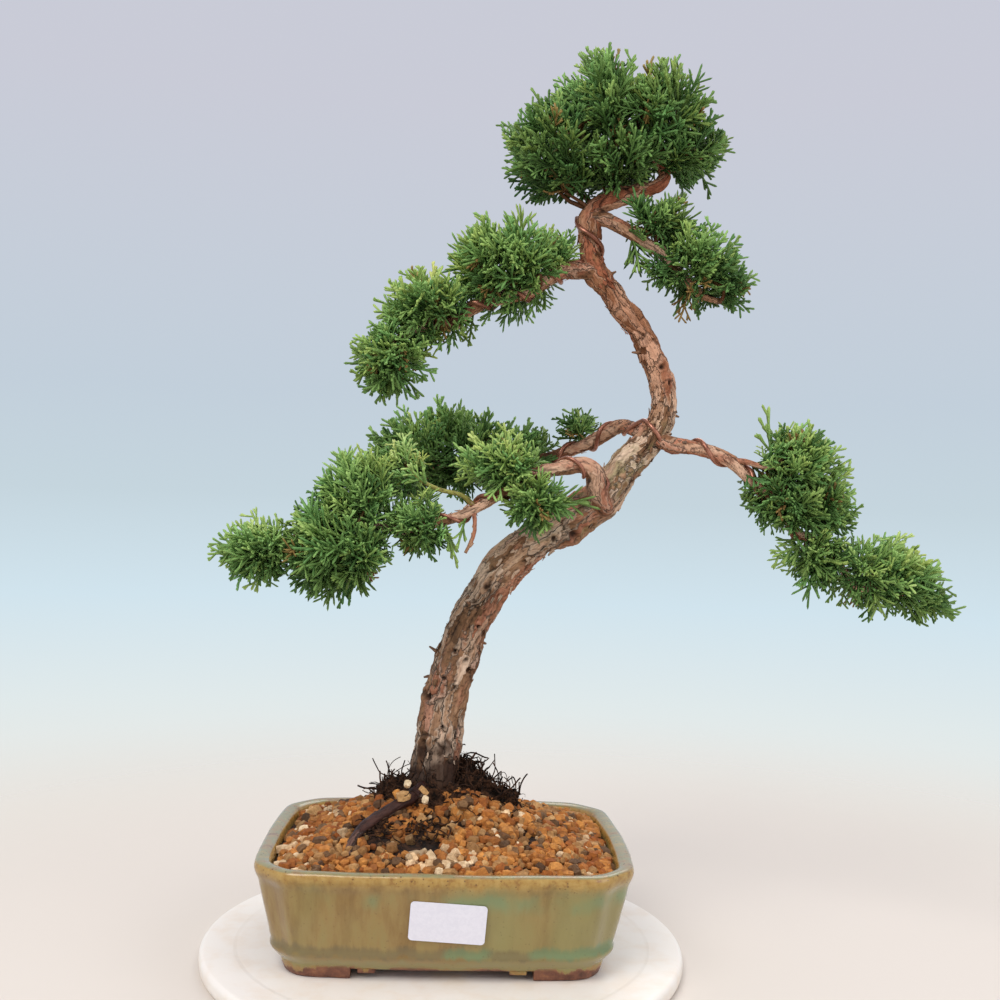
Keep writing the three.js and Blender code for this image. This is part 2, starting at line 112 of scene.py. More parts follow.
# Collects points, faces of three or four corners, and values on the points, and makes one mesh of them
class Heap:
    def __init__(self):
        self.points, self.faces, self.marks, self.count = [], [], {}, 0

    def add(self, points, faces, **marks):
        points = np.asarray(points, float).reshape(-1, 3)
        faces = np.asarray(faces, int).reshape(-1, 4)
        self.points.append(points)
        self.faces.append(np.where(faces >= 0, faces + self.count, -1))
        for name, value in marks.items():
            value = np.asarray(value, float)
            if value.ndim == 0:
                value = np.full(len(points), float(value))
            self.marks.setdefault(name, []).append(value)
        self.count += len(points)

    def gathered(self):
        marks = {name: np.concatenate(values) for name, values in self.marks.items()}
        return np.concatenate(self.points), np.concatenate(self.faces), marks

    # The finished object; points are in mm from the trunk's foot unless another middle is given
    def build(self, name, middle=trunkFoot):
        points, faces, marks = self.gathered()
        mesh = bpy.data.meshes.new(name)
        mesh.vertices.add(len(points))
        mesh.vertices.foreach_set("co", (points * mm + np.array(middle)).astype(np.float32).ravel())
        corners = (faces >= 0).sum(1)
        mesh.loops.add(int(corners.sum()))
        mesh.loops.foreach_set("vertex_index", faces[faces >= 0].astype(np.int32))
        mesh.polygons.add(len(faces))
        starts = np.concatenate(([0], np.cumsum(corners)[:-1]))
        mesh.polygons.foreach_set("loop_start", starts.astype(np.int32))
        mesh.polygons.foreach_set("use_smooth", np.ones(len(faces), bool))
        mesh.update(calc_edges=True)
        for markName, values in marks.items():
            kind = "FLOAT_COLOR" if values.ndim == 2 and values.shape[1] == 4 else "FLOAT"
            kind = "FLOAT_VECTOR" if values.ndim == 2 and values.shape[1] == 3 else kind
            field = {"FLOAT": "value", "FLOAT_VECTOR": "vector", "FLOAT_COLOR": "color"}[kind]
            layer = mesh.attributes.new(markName, kind, "POINT")
            layer.data.foreach_set(field, values.astype(np.float32).ravel())
        piece = bpy.data.objects.new(name, mesh)
        bpy.context.scene.collection.objects.link(piece)
        return piece


# Side faces between rings of the same count, as quads, with fans over the two ends
def ringFaces(rings, sides, closedEnds=True):
    i, k = np.meshgrid(np.arange(rings - 1), np.arange(sides), indexing="ij")
    a = (i * sides + k).ravel()
    b = (i * sides + (k + 1) % sides).ravel()
    faces = np.stack([a, b, b + sides, a + sides], 1)
    if not closedEnds:
        return faces
    k = np.arange(sides)
    low, high, last = rings * sides, rings * sides + 1, (rings - 1) * sides
    lowFan = np.stack([(k + 1) % sides, k, np.full(sides, low), np.full(sides, -1)], 1)
    highFan = np.stack([last + k, last + (k + 1) % sides, np.full(sides, high), np.full(sides, -1)], 1)
    return np.concatenate([faces, lowFan, highFan])


# A round tube along points, with closed ends
def tube(heap, points, radii, sides, **marks):
    points = np.asarray(points, float)
    radii = np.broadcast_to(radii, len(points))
    along = np.gradient(points, axis=0)
    along /= np.linalg.norm(along, axis=1)[:, None] + 1e-9
    normal = np.cross(along[0], (0.3, 0.5, 0.81))
    rings = []
    for place, way, radius in zip(points, along, radii):
        normal = normal - way * normal.dot(way)
        normal = normal / (np.linalg.norm(normal) + 1e-9)
        other = np.cross(way, normal)
        rings.append([place + radius * (normal * math.cos(a) + other * math.sin(a))
                      for a in np.arange(sides) / sides * turn])
    rings = np.array(rings).reshape(-1, 3)
    ends = np.array([points[0] - along[0] * radii[0] * 0.4, points[-1] + along[-1] * radii[-1] * 0.4])
    heap.add(np.concatenate([rings, ends]), ringFaces(len(points), sides), **marks)


# --- camera, floor and light

cameraSet = {
    "place": (-0.6, -640.5, 233.2),  # from the middle of the pot, on the ground
    "look": (0.0389, 0.9991, 0.0166),
    "roll": math.radians(1.74),
    "lens": 41.03,
}
cameraPlace = potMiddle + Vector(cameraSet["place"]) * mm
bpy.ops.object.camera_add(location=cameraPlace)
camera = bpy.context.object
facing = Vector(cameraSet["look"]).to_track_quat("-Z", "Y").to_matrix().to_4x4()
camera.matrix_world = Matrix.Translation(cameraPlace) @ facing @ Matrix.Rotation(cameraSet["roll"], 4, "Z")
camera.data.lens = cameraSet["lens"]
camera.data.sensor_width = 36
camera.data.clip_start = 0.01
bpy.context.scene.camera = camera
bpy.context.scene.view_settings.view_transform = "Standard"


# A node with its settings; an input is given a value or the socket that feeds it
def addNode(tree, kind, inputs=None, **settings):
    node = tree.nodes.new(kind)
    for name, value in settings.items():
        setattr(node, name, value)
    for name, value in (inputs or {}).items():
        if isinstance(value, Value):
            value = value.socket
        if isinstance(value, bpy.types.NodeSocket):
            tree.links.new(value, node.inputs[name])
        else:
            node.inputs[name].default_value = value
    return node


def newMaterial(name):
    material = bpy.data.materials.new(name)
    material.use_nodes = True
    material.node_tree.nodes.clear()
    return material, material.node_tree


# The shader of a finish, with plain values on its own sockets
def finishWith(tree, **inputs):
    shader = addNode(tree, "ShaderNodeBsdfPrincipled", {k.replace("_", " "): v for k, v in inputs.items()})
    output = addNode(tree, "ShaderNodeOutputMaterial")
    tree.links.new(shader.outputs[0], output.inputs[0])
    return shader


def ramp(tree, value, *stops):
    node = addNode(tree, "ShaderNodeValToRGB", {0: value})
    marks = node.color_ramp.elements
    for place, colour in stops[2:]:
        marks.new(place)
    for mark, (place, colour) in zip(marks, stops):
        mark.position = place
        mark.color = colour
    return node.outputs[0]


def blend(tree, share, first, second, kind="MIX"):
    inputs = {0: share, 6: first, 7: second}
    return addNode(tree, "ShaderNodeMix", inputs, data_type="RGBA", blend_type=kind).outputs[2]


# A shader's number, so that plain arithmetic on it makes the math nodes
class Value:
    def __init__(self, tree, socket):
        self.tree, self.socket = tree, socket

    def __add__(self, other):
        return sums(self.tree, "ADD", self, other)

    def __sub__(self, other):
        return sums(self.tree, "SUBTRACT", self, other)

    def __rsub__(self, other):
        return sums(self.tree, "SUBTRACT", other, self)

    def __mul__(self, other):
        return sums(self.tree, "MULTIPLY", self, other)

    def __rmul__(self, other):
        return sums(self.tree, "MULTIPLY", other, self)


def valuesOf(tree, node):
    return [Value(tree, socket) for socket in node.outputs]


def sums(tree, kind, first, second=0.5):
    node = addNode(tree, "ShaderNodeMath", {0: first, 1: second}, operation=kind)
    return Value(tree, node.outputs[0])


# 0 below the first value, 1 above the second, smooth between
def step(tree, value, low, high):
    inputs = {"Value": value, "From Min": low, "From Max": high}
    return Value(tree, addNode(tree, "ShaderNodeMapRange", inputs,
                               interpolation_type="SMOOTHSTEP").outputs[0])


def mark(tree, name, output="Fac"):
    return Value(tree, addNode(tree, "ShaderNodeAttribute", attribute_name=name).outputs[output])


def places(tree, scale=(1, 1, 1), middle=(0, 0, 0), source=None):
    if source is None:
        source = addNode(tree, "ShaderNodeTexCoord").outputs["Object"]
    inputs = {"Vector": source, "Location": tuple(-m * s for m, s in zip(middle, scale)), "Scale": scale}
    return addNode(tree, "ShaderNodeMapping", inputs).outputs[0]


def cloud(tree, where, scale, detail=4.0, roughness=0.55):
    inputs = {"Vector": where, "Scale": scale, "Detail": detail, "Roughness": roughness}
    return Value(tree, addNode(tree, "ShaderNodeTexNoise", inputs).outputs["Fac"])


def bump(tree, height, distance, strength=1.0, normal=None):
    inputs = {"Height": height, "Distance": distance, "Strength": strength}
    if normal is not None:
        inputs["Normal"] = normal
    return addNode(tree, "ShaderNodeBump", inputs).outputs[0]


stageSet = {
    "floorRadius": 2600, "solid": 150, "faded": 800,
    "tableRadius": 132, "tableThickness": 9, "ringRadius": 112,
}


def makeStage():
    bpy.ops.mesh.primitive_circle_add(vertices=96, radius=stageSet["floorRadius"] * mm, fill_type="NGON",
                                      location=(0, 0, -stageSet["tableThickness"] * mm))
    floor = bpy.context.object
    floor.name = "floor"
    material, tree = newMaterial("paleFloor")
    where = addNode(tree, "ShaderNodeTexCoord").outputs["Object"]
    away = addNode(tree, "ShaderNodeVectorMath", {0: where}, operation="LENGTH").outputs["Value"]
    alpha = 1.0 - step(tree, away, stageSet["solid"] * mm, stageSet["faded"] * mm)
    finishWith(tree, Base_Color=tone(214, 205, 195), Roughness=0.8, Alpha=alpha)
    floor.data.materials.append(material)

    thickness = stageSet["tableThickness"]
    bpy.ops.mesh.primitive_cylinder_add(vertices=128, radius=stageSet["tableRadius"] * mm,
                                        depth=thickness * mm,
                                        location=potMiddle + Vector((0, 0, -thickness / 2 - 0.05)) * mm)
    table = bpy.context.object
    table.name = "turntable"
    soften = table.modifiers.new("soften", "BEVEL")
    soften.width = 3 * mm
    soften.segments = 5
    applyModifiers(table)
    shadeSmooth(table, 50)
    material, tree = newMaterial("palePlastic")
    flat = places(tree, (1, 1, 0))
    away = addNode(tree, "ShaderNodeVectorMath", {0: flat}, operation="LENGTH").outputs["Value"]
    ring = step(tree, away, stageSet["ringRadius"] * mm, (stageSet["ringRadius"] + 2.5) * mm)
    stains = cloud(tree, places(tree), 60.0, 4.0)
    colour = blend(tree, step(tree, stains, 0.4, 0.7), tone(238, 231, 222), tone(234, 222, 208))
    finishWith(tree, Base_Color=colour, Roughness=0.4, Normal=bump(tree, ring, 0.001, 0.25))
    table.data.materials.append(material)

    world = bpy.data.worlds.new("softSky")
    bpy.context.scene.world = world
    world.use_nodes = True
    sky = world.node_tree
    sky.nodes.clear()
    skyWay = addNode(sky, "ShaderNodeTexCoord").outputs["Generated"]
    up = addNode(sky, "ShaderNodeSeparateXYZ", {0: skyWay}).outputs[2]
    height = addNode(sky, "ShaderNodeMapRange", {"Value": up, "From Min": -0.4, "From Max": 0.4})
    colours = ramp(sky, height.outputs[0], (0.0, tone(240, 230, 218)), (0.1, tone(238, 229, 219)),
                   (0.2, tone(236, 233, 226)), (0.304, tone(224, 233, 234)), (0.411, tone(208, 227, 237)),
                   (0.52, tone(196, 212, 221)), (0.63, tone(193, 206, 218)), (0.93, tone(200, 202, 214)))
    background = addNode(sky, "ShaderNodeBackground", {"Color": colours, "Strength": 1.0})
    sky.links.new(background.outputs[0], addNode(sky, "ShaderNodeOutputWorld").inputs[0])

    lamps = {
        "keyLamp": ((-700, -900, 1300), 900, 17),
        "fillLamp": ((900, -700, 700), 900, 5),
        "backLamp": ((300, 900, 1200), 900, 7),
    }
    for name, (place, size, power) in lamps.items():
        spot = Vector(place) * mm
        aim = (Vector((0, 0, 0.25)) - spot).to_track_quat("-Z", "Y").to_euler()
        bpy.ops.object.light_add(type="AREA", location=spot, rotation=aim)
        lamp = bpy.context.object
        lamp.name = name
        lamp.data.size = size * mm
        lamp.data.energy = power
        lamp.data.color = (1.0, 0.975, 0.94)


makeStage()
print("camera, floor and light set")


# --- effects that several finishes share


# A new node group with its sockets as name and kind, and the values it is given
def newGroup(name, inputs, outputs):
    group = bpy.data.node_groups.new(name, "ShaderNodeTree")
    for way, sockets in (("INPUT", inputs), ("OUTPUT", outputs)):
        for socketName, kind in sockets.items():
            group.interface.new_socket(socketName, in_out=way, socket_type=f"NodeSocket{kind}")
    return group, addNode(group, "NodeGroupInput").outputs


# Soft mottling between two colours, with the cloud value beside it
def makeMottle():
    group, given = newGroup("mottle", {"Vector": "Vector", "Scale": "Float", "Low": "Color", "High": "Color"},
                            {"Color": "Color", "Value": "Float"})
    spread = step(group, cloud(group, given["Vector"], given["Scale"], 5.0, 0.6), 0.34, 0.66)
    colour = blend(group, spread, given["Low"], given["High"])
    addNode(group, "NodeGroupOutput", {"Color": colour, "Value": spread})
    return group


# Small round specks or pinholes: 1 inside a speck
def makeSpecks():
    group, given = newGroup("specks", {"Vector": "Vector", "Scale": "Float", "Radius": "Float"},
                            {"Mask": "Float"})
    cells = addNode(group, "ShaderNodeTexVoronoi", {"Vector": given["Vector"], "Scale": given["Scale"]})
    chosen = step(group, cloud(group, given["Vector"], given["Scale"], 1.0), 0.42, 0.6)
    reach = given["Radius"] * chosen
    near = reach - cells.outputs["Distance"]
    addNode(group, "NodeGroupOutput", {"Mask": step(group, near, 0.0, 0.06)})
    return group


mottleGroup = makeMottle()
specksGroup = makeSpecks()


def mottle(tree, where, scale, low, high):
    inputs = {"Vector": where, "Scale": scale, "Low": low, "High": high}
    node = addNode(tree, "ShaderNodeGroup", inputs, node_tree=mottleGroup)
    return node.outputs["Color"], Value(tree, node.outputs["Value"])


def specks(tree, where, scale, radius):
    inputs = {"Vector": where, "Scale": scale, "Radius": radius}
    return Value(tree, addNode(tree, "ShaderNodeGroup", inputs, node_tree=specksGroup).outputs["Mask"])


# --- pot

potSet = {
    "width": 199, "depth": 158, "height": 57,
    "cornerCut": 19, "sideBow": 2.5, "softness": 5.2,
    "footHeight": 5, "footInset": 15.3, "footLength": 38, "footDepthLength": 30, "footThickness": 11,
    "toothLength": 8, "drainSpacing": 80, "drainRadius": 9, "floorTop": 13,
    # height, inset from the rim, depth of the corner grooves: up the outside, over the lip, down inside
    "section": (
        (5, 20, 1.5), (5, 16.8, 1.5), (5.4, 15.4, 1.5), (6.4, 14.4, 1.5), (8, 13.4, 1.5), (9.6, 12, 1.4),
        (11.2, 10.6, 1.2), (12.6, 9.5, 1.1), (13.6, 9, 1.1), (14.6, 8.9, 1.4), (15.6, 9.2, 2), (17, 9.2, 2.9),
        (19, 8.6, 3.6), (23, 7.7, 3.8), (28, 6.5, 3.8), (33, 5.3, 3.8), (38, 4.1, 3.7), (43, 3, 3.4),
        (46, 2.4, 3), (48.2, 1.7, 2.3), (50, 0.9, 1.6), (52, 0.25, 1.1), (54, 0, 0.8), (55.6, 0.35, 0.8),
        (56.6, 1.2, 0.8), (57, 2.5, 0.8), (56.9, 4.4, 0.8), (56.5, 6.3, 0.8), (55.7, 7.6, 0.8),
        (54.2, 8.4, 0.8),
        (51, 9, 0.8), (44, 10.2, 0.8), (34, 11.8, 0.8), (24, 13.7, 0.8), (16, 15.4, 0.8), (13.6, 16.2, 0.8),
        (13, 17.6, 0.8),
    ),
}


# Plan outline at a height, as [x, y] in mm from the pot's middle: swelling sides and canted, coved corners,
# with every turn softened
def potOutline(inset, cove, count=216):
    halfWidth = potSet["width"] / 2 - inset
    halfDepth = potSet["depth"] / 2 - inset
    bow = potSet["sideBow"]
    cant = potSet["cornerCut"] - inset * (2 - math.sqrt(2))
    quarter = []
    for t in np.linspace(0, 1, 13):
        quarter.append((halfWidth - bow * t * t, (halfDepth - cant) * t))
    for t in np.linspace(0, 1, 15)[1:-1]:
        inwards = cove * (4 * t * (1 - t)) ** 1.3 / math.sqrt(2)
        run = cant - bow
        quarter.append((halfWidth - bow - run * t - inwards, halfDepth - cant + run * t - inwards))
    for t in np.linspace(1, 0, 13):
        quarter.append(((halfWidth - cant) * t, halfDepth - bow * t * t))
    half = quarter + [(-x, y) for x, y in reversed(quarter[:-1])]
    loop = np.array(half + [(x, -y) for x, y in reversed(half[1:-1])] + half[:1])
    along = np.concatenate([[0], np.cumsum(np.linalg.norm(np.diff(loop, axis=0), axis=1))])
    even = np.linspace(0, along[-1], count, endpoint=False)
    spots = np.column_stack([np.interp(even, along, loop[:, axis]) for axis in range(2)])
    reach = potSet["softness"] / (along[-1] / count)
    shares = np.exp(-np.arange(-9, 10) ** 2 / (2 * reach * reach))
    return sum(np.roll(spots, k, axis=0) * share for k, share in zip(range(-9, 10), shares)) / shares.sum()


def makePotMesh():
    shell = Heap()
    rings = []
    for z, inset, cove in potSet["section"]:
        ring = [(x, y, z) for x, y in potOutline(inset, cove)]
        rings.append(ring)
    points = np.array(rings)
    count = points.shape[1]
    outside = np.array([inset < 17 for z, inset, cove in potSet["section"]])
    for i, ring in enumerate(points):
        if outside[i]:  # the wall is never quite true
            for p in ring:
                waver = noise.noise(Vector(p) * 0.035) * 0.5 + noise.noise(Vector(p) * 0.11) * 0.16
                p[:2] += p[:2] / np.linalg.norm(p[:2]) * waver
            if 3 < i < 30:
                ring[:, 2] += [0.35 * noise.noise(Vector((p[0], p[1], 0)) * 0.03) for p in ring]
    ends = np.array([(0, 0, potSet["footHeight"]), (0, 0, potSet["floorTop"])])
    shell.add(np.concatenate([points.reshape(-1, 3), ends]), ringFaces(len(rings), count))
    pot = shell.build("glazedPot", potMiddle)

    for side in (-1, 1):  # drain holes
        place = potMiddle + Vector((side * potSet["drainSpacing"] / 2, 0, 9)) * mm
        bpy.ops.mesh.primitive_cylinder_add(vertices=40, radius=potSet["drainRadius"] * mm, depth=30 * mm,
                                            location=place)
        cutPot(pot, bpy.context.object)
    shadeSmooth(pot, 50)
    return pot


def cutPot(piece, cutter, kind="DIFFERENCE"):
    modifier = piece.modifiers.new("cut", "BOOLEAN")
    modifier.object = cutter
    modifier.operation = kind
    modifier.solver = "EXACT"
    applyModifiers(piece)
    bpy.data.objects.remove(cutter)


# Four bracket feet left from one band round the underside, and a small tooth beside each
def makeFeet():
    band = Heap()
    inset, thick = potSet["footInset"], potSet["footThickness"]
    wall = ((8, inset - 1.6), (4, inset - 0.6), (0.9, inset + 0.6), (0, inset + 1.7),
            (0, inset + thick - 1.2),
            (1, inset + thick), (8, inset + thick))
    rings = np.array([[(x, y, z) for x, y in potOutline(offset, 1.4)] for z, offset in wall])
    count = rings.shape[1]
    faces = ringFaces(len(wall), count, closedEnds=False)
    k = np.arange(count)
    last = (len(wall) - 1) * count
    lid = np.stack([last + k, last + (k + 1) % count, (k + 1) % count, k], 1)
    band.add(rings.reshape(-1, 3), np.concatenate([faces, lid])[:, ::-1])
    feet = band.build("potFeet", potMiddle)
    longGap = potSet["width"] - 2 * (inset + potSet["footLength"])
    shortGap = potSet["depth"] - 2 * (inset + potSet["footDepthLength"])
    for width, depth in ((longGap, 320), (320, shortGap)):
        bpy.ops.mesh.primitive_cube_add(size=1, location=potMiddle, scale=(width * mm, depth * mm, 40 * mm))
        cutPot(feet, bpy.context.object)
    x = potSet["width"] / 2 - inset - potSet["footLength"] - potSet["toothLength"]
    y = potSet["depth"] / 2 - inset - potSet["toothLength"] / 2 - 1
    for side in (-1, 1):
        for end in (-1, 1):
            place = potMiddle + Vector((side * x, end * y, 4.8)) * mm
            bpy.ops.mesh.primitive_cube_add(size=1, location=place, scale=(9 * mm, 8 * mm, 3.4 * mm))
            tooth = bpy.context.object
            bpy.ops.object.transform_apply(location=True, rotation=False, scale=True)
            bpy.ops.object.mode_set(mode="EDIT")
            bpy.ops.mesh.select_all(action="SELECT")
            bpy.ops.mesh.bevel(offset=0.8 * mm, segments=3)
            bpy.ops.object.mode_set(mode="OBJECT")
            cutPot(feet, tooth, "UNION")
    soften = feet.modifiers.new("soften", "BEVEL")
    soften.width = 0.7 * mm
    soften.segments = 2
    soften.angle_limit = math.radians(50)
    applyModifiers(feet)
    shadeSmooth(feet, 50)
    return feet


# Olive-brown glaze, ochre where it runs thin on the lip, turquoise where it pooled, bare clay on the feet
def makeGlaze():
    material, tree = newMaterial("runnyGlaze")
    middle = tuple(potMiddle)
    flat = places(tree, middle=middle)
    axes = addNode(tree, "ShaderNodeSeparateXYZ", {0: flat})
    across, depth, height = valuesOf(tree, axes)
    streaks = cloud(tree, places(tree, (1, 1, 0.12), middle), 120.0, 5.0, 0.6)
    drifts = cloud(tree, places(tree, (1, 1, 0.5), middle), 32.0, 3.0)
    fine = cloud(tree, flat, 900.0, 3.0, 0.7)
    # heights that waver along the wall, as a glaze run does
    waver = (streaks - 0.5) * 0.012
    level = height + waver

    body = ramp(tree, streaks, (0.25, tone(116, 86, 42)), (0.42, tone(134, 105, 56)),
                (0.55, tone(144, 118, 67)),
                (0.7, tone(142, 124, 72)))
    greener = step(tree, cloud(tree, places(tree, (1, 1, 0.3), middle), 18.0, 2.0), 0.42, 0.62)
    body = blend(tree, greener * 0.6, body, tone(136, 134, 84))
    pool = step(tree, level, 0.036, 0.043) * step(tree, drifts, 0.45, 0.62)
    pool = pool * (1.0 - step(tree, level, 0.044, 0.049))
    body = blend(tree, pool * 0.55, body, tone(104, 134, 96))
    crease = step(tree, level, 0.0115, 0.015) * (1.0 - step(tree, level, 0.0165, 0.0205))
    creaseColour = blend(tree, step(tree, across + cloud(tree, flat, 22.0, 2.0), 0.52, 0.6),
                         tone(104, 92, 62), tone(94, 122, 86))
    body = blend(tree, crease * 0.7, body, creaseColour)
    underBelt = 1.0 - step(tree, level, 0.009, 0.013)
    body = blend(tree, underBelt * 0.8, body, tone(142, 132, 82))
    body = blend(tree, 1.0 - step(tree, level, 0.0045, 0.0075), body, tone(152, 116, 62))

    lipBand = step(tree, level, 0.0475, 0.0545)
    lipOchre = ramp(tree, cloud(tree, flat, 260.0, 4.0, 0.65), (0.3, tone(132, 92, 44)),
                    (0.45, tone(160, 124, 62)), (0.7, tone(176, 144, 82)))
    body = blend(tree, lipBand, body, lipOchre)
    normal = addNode(tree, "ShaderNodeNewGeometry").outputs["Normal"]
    facingUp = addNode(tree, "ShaderNodeSeparateXYZ", {0: normal}).outputs[2]
    lipTop = step(tree, facingUp, 0.55, 0.9) * step(tree, height, 0.053, 0.055)
    lipGreen = ramp(tree, cloud(tree, flat, 90.0, 4.0, 0.65), (0.3, tone(118, 90, 74)),
                    (0.42, tone(146, 126, 92)),
                    (0.54, tone(130, 132, 100)), (0.66, tone(158, 140, 94)), (0.85, tone(140, 106, 68)))
    body = blend(tree, lipTop * 0.92, body, lipGreen)
    # painted shade: the coved corners are darkened towards brown
    corner = sums(tree, "ABSOLUTE", across) + sums(tree, "ABSOLUTE", depth)
    grooveShade = step(tree, corner, 0.153, 0.156) * (1.0 - step(tree, level, 0.045, 0.05))
    grooveShade = grooveShade * step(tree, height, 0.016, 0.022)
    body = blend(tree, grooveShade * 0.4, body, tone(112, 84, 52))
    pits = specks(tree, flat, 430.0, 0.24)
    pits = pits * (lipBand * 0.5 + 0.2)
    body = blend(tree, pits, body, tone(84, 52, 28))

    bareEdge = level + (drifts - 0.5) * 0.03
    bare = 1.0 - step(tree, bareEdge, 0.0046, 0.0062)
    bare = bare * (1.0 - step(tree, height, 0.0055, 0.0085))
    bare = sums(tree, "MAXIMUM", bare, 1.0 - step(tree, height, 0.0006, 0.0018))
    bare = sums(tree, "MAXIMUM", bare,
                step(tree, facingUp, 0.7, 0.9) * (1.0 - step(tree, height, 0.014, 0.016)))
    clay = ramp(tree, cloud(tree, flat, 180.0, 5.0, 0.65), (0.3, tone(78, 44, 32)), (0.5, tone(118, 72, 52)),
                (0.72, tone(150, 100, 68)))
    colour = blend(tree, bare, body, clay)
    rough = fine * 0.12 + 0.17
    rough = rough + bare * 0.5
    relief = streaks * 0.4 + drifts * 0.8
    relief = relief - pits * 0.35
    relief = relief + fine * bare * 1.2
    finishWith(tree, Base_Color=colour, Roughness=rough, Coat_Weight=0.25, Coat_Roughness=0.12,
               Normal=bump(tree, relief, 0.0006, 0.6))
    return material


glaze = makeGlaze()
pot = makePotMesh()
feet = makeFeet()
useOnly(pot)
feet.select_set(True)
bpy.ops.object.join()
settle(pot, glaze, "glaze", "pot")
print("pot made:", len(pot.data.polygons), "faces")


# --- drain screens and their clips keep their CAD shape


def makeScreenPlastic():
    material, tree = newMaterial("blackMesh")
    where = places(tree)
    colour, value = mottle(tree, where, 400.0, tone(24, 26, 25), tone(44, 46, 44))
    rough = value * 0.25 + 0.45
    finishWith(tree, Base_Color=colour, Roughness=rough, Normal=bump(tree, value, 0.0002, 0.4))
    return material


def makeClipSteel():
    material, tree = newMaterial("clipSteel")
    colour, value = mottle(tree, places(tree), 600.0, tone(128, 126, 122), tone(176, 175, 172))
    rough = value * 0.2 + 0.25
    finishWith(tree, Base_Color=colour, Metallic=1.0, Roughness=rough, Normal=bump(tree, value, 0.0001, 0.3))
    return material


screenPlastic = makeScreenPlastic()
clipSteel = makeClipSteel()
for side in ("left", "right"):
    for nodeName, finish in ((f"drain_screen_{side}", screenPlastic), (f"screen_clip_{side}", clipSteel)):
        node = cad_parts[nodeName]
        node.data.materials.clear()
        node.data.materials.append(finish)


# --- substrate: dark fines under a bed of loose grains

soilSet = {
    "edge": 53, "rise": 29, "low": 14.6, "cover": 2.6,
    "lip": 8.5, "edgeInset": 9.2, "grainInset": 12.2, "floorInset": 15.5,
    "pitch": 4.3, "rowShare": 0.86, "trunkClear": 12, "seed": 21,
    # heaps on the slope: x, y, radius, lift
    "mounds": ((13, -13, 15, 6.5), (34, -8, 14, 2.5), (-40, 2, 14, 3)),
    # big single stones: x, y, z, size, kind
    "pebbles": ((-24, -17, 81, 7, 1), (-13, -16, 84, 5, 1), (-22, -14, 87, 4.4, 3), (-12, -20, 80, 4.5, 3),
                (-78, 40, 54, 13, 1), (-27, -14, 81, 5, 0), (8, -25, 79, 6, 2)),
    # share of the grains, then the two ends of their colour
    "kinds": (
        (0.58, tone(158, 88, 32), tone(210, 142, 70)),
        (0.25, tone(158, 110, 60), tone(208, 162, 106)),
        (0.12, tone(92, 64, 40), tone(134, 100, 66)),
        (0.05, tone(228, 188, 140), tone(246, 220, 180)),
    ),
}


# Height of the mound's surface at a place measured from the pot's middle, in mm
def soilHeight(x, y):
    dx, dy = x - trunkX, y - trunkY
    across = dx / (potSet["width"] / 2 - soilSet["lip"] - math.copysign(trunkX, dx * trunkX))
    along = dy / (potSet["depth"] / 2 - soilSet["lip"] - math.copysign(trunkY, dy * trunkY))
    out = min(1, (across**4 + along**4) ** 0.25)
    height = soilSet["edge"] + soilSet["rise"] * (1 - out)
    for across, along, radius, lift in soilSet["mounds"]:
        height += lift * math.exp(-((x - across) ** 2 + (y - along) ** 2) / radius**2)
    return height


def makeFines():
    bed = Heap()
    edge = potOutline(soilSet["edgeInset"], 1)
    low = potOutline(soilSet["floorInset"], 1)
    middle = np.array((trunkX, trunkY))
    rings = [np.column_stack([low, np.full(len(low), soilSet["low"])])]
    for inwards in np.linspace(0, 0.97, 34):
        flat = edge + (middle - edge) * inwards
        heights = [soilHeight(x, y) - soilSet["cover"] + 0.9 * noise.noise(Vector((x, y, 0)) * 0.35)
                   for x, y in flat]
        rings.append(np.column_stack([flat, heights]))
    ends = np.array([(0, 0, soilSet["low"]), (*middle, soilHeight(*middle) - soilSet["cover"])])
    points = np.concatenate([np.concatenate(rings), ends])
    bed.add(points, ringFaces(len(rings), len(edge)))
    return bed.build("soilFines", potMiddle)


# One rounded, slightly angular grain from a subdivided cube, about 1 across
def grainShape(draw):
    bpy.ops.mesh.primitive_cube_add(size=1)
    cube = bpy.context.object
    bpy.ops.object.mode_set(mode="EDIT")
    bpy.ops.mesh.select_all(action="SELECT")
    bpy.ops.mesh.subdivide(number_cuts=1)
    bpy.ops.object.mode_set(mode="OBJECT")
    points, faces = takeMesh(cube)
    points = points / np.linalg.norm(points, axis=1)[:, None] * 0.35 + points * 0.32
    points *= [[draw.uniform(0.86, 1.14) for axis in range(3)] for point in points]
    points *= [draw.uniform(0.95, 1.25), draw.uniform(0.8, 1.0), draw.uniform(0.7, 0.9)]
    return points, faces


def turned(draw):
    axis = Vector([draw.gauss(0, 1) for k in range(3)]).normalized()
    return np.array(Matrix.Rotation(draw.uniform(0, turn), 3, axis))


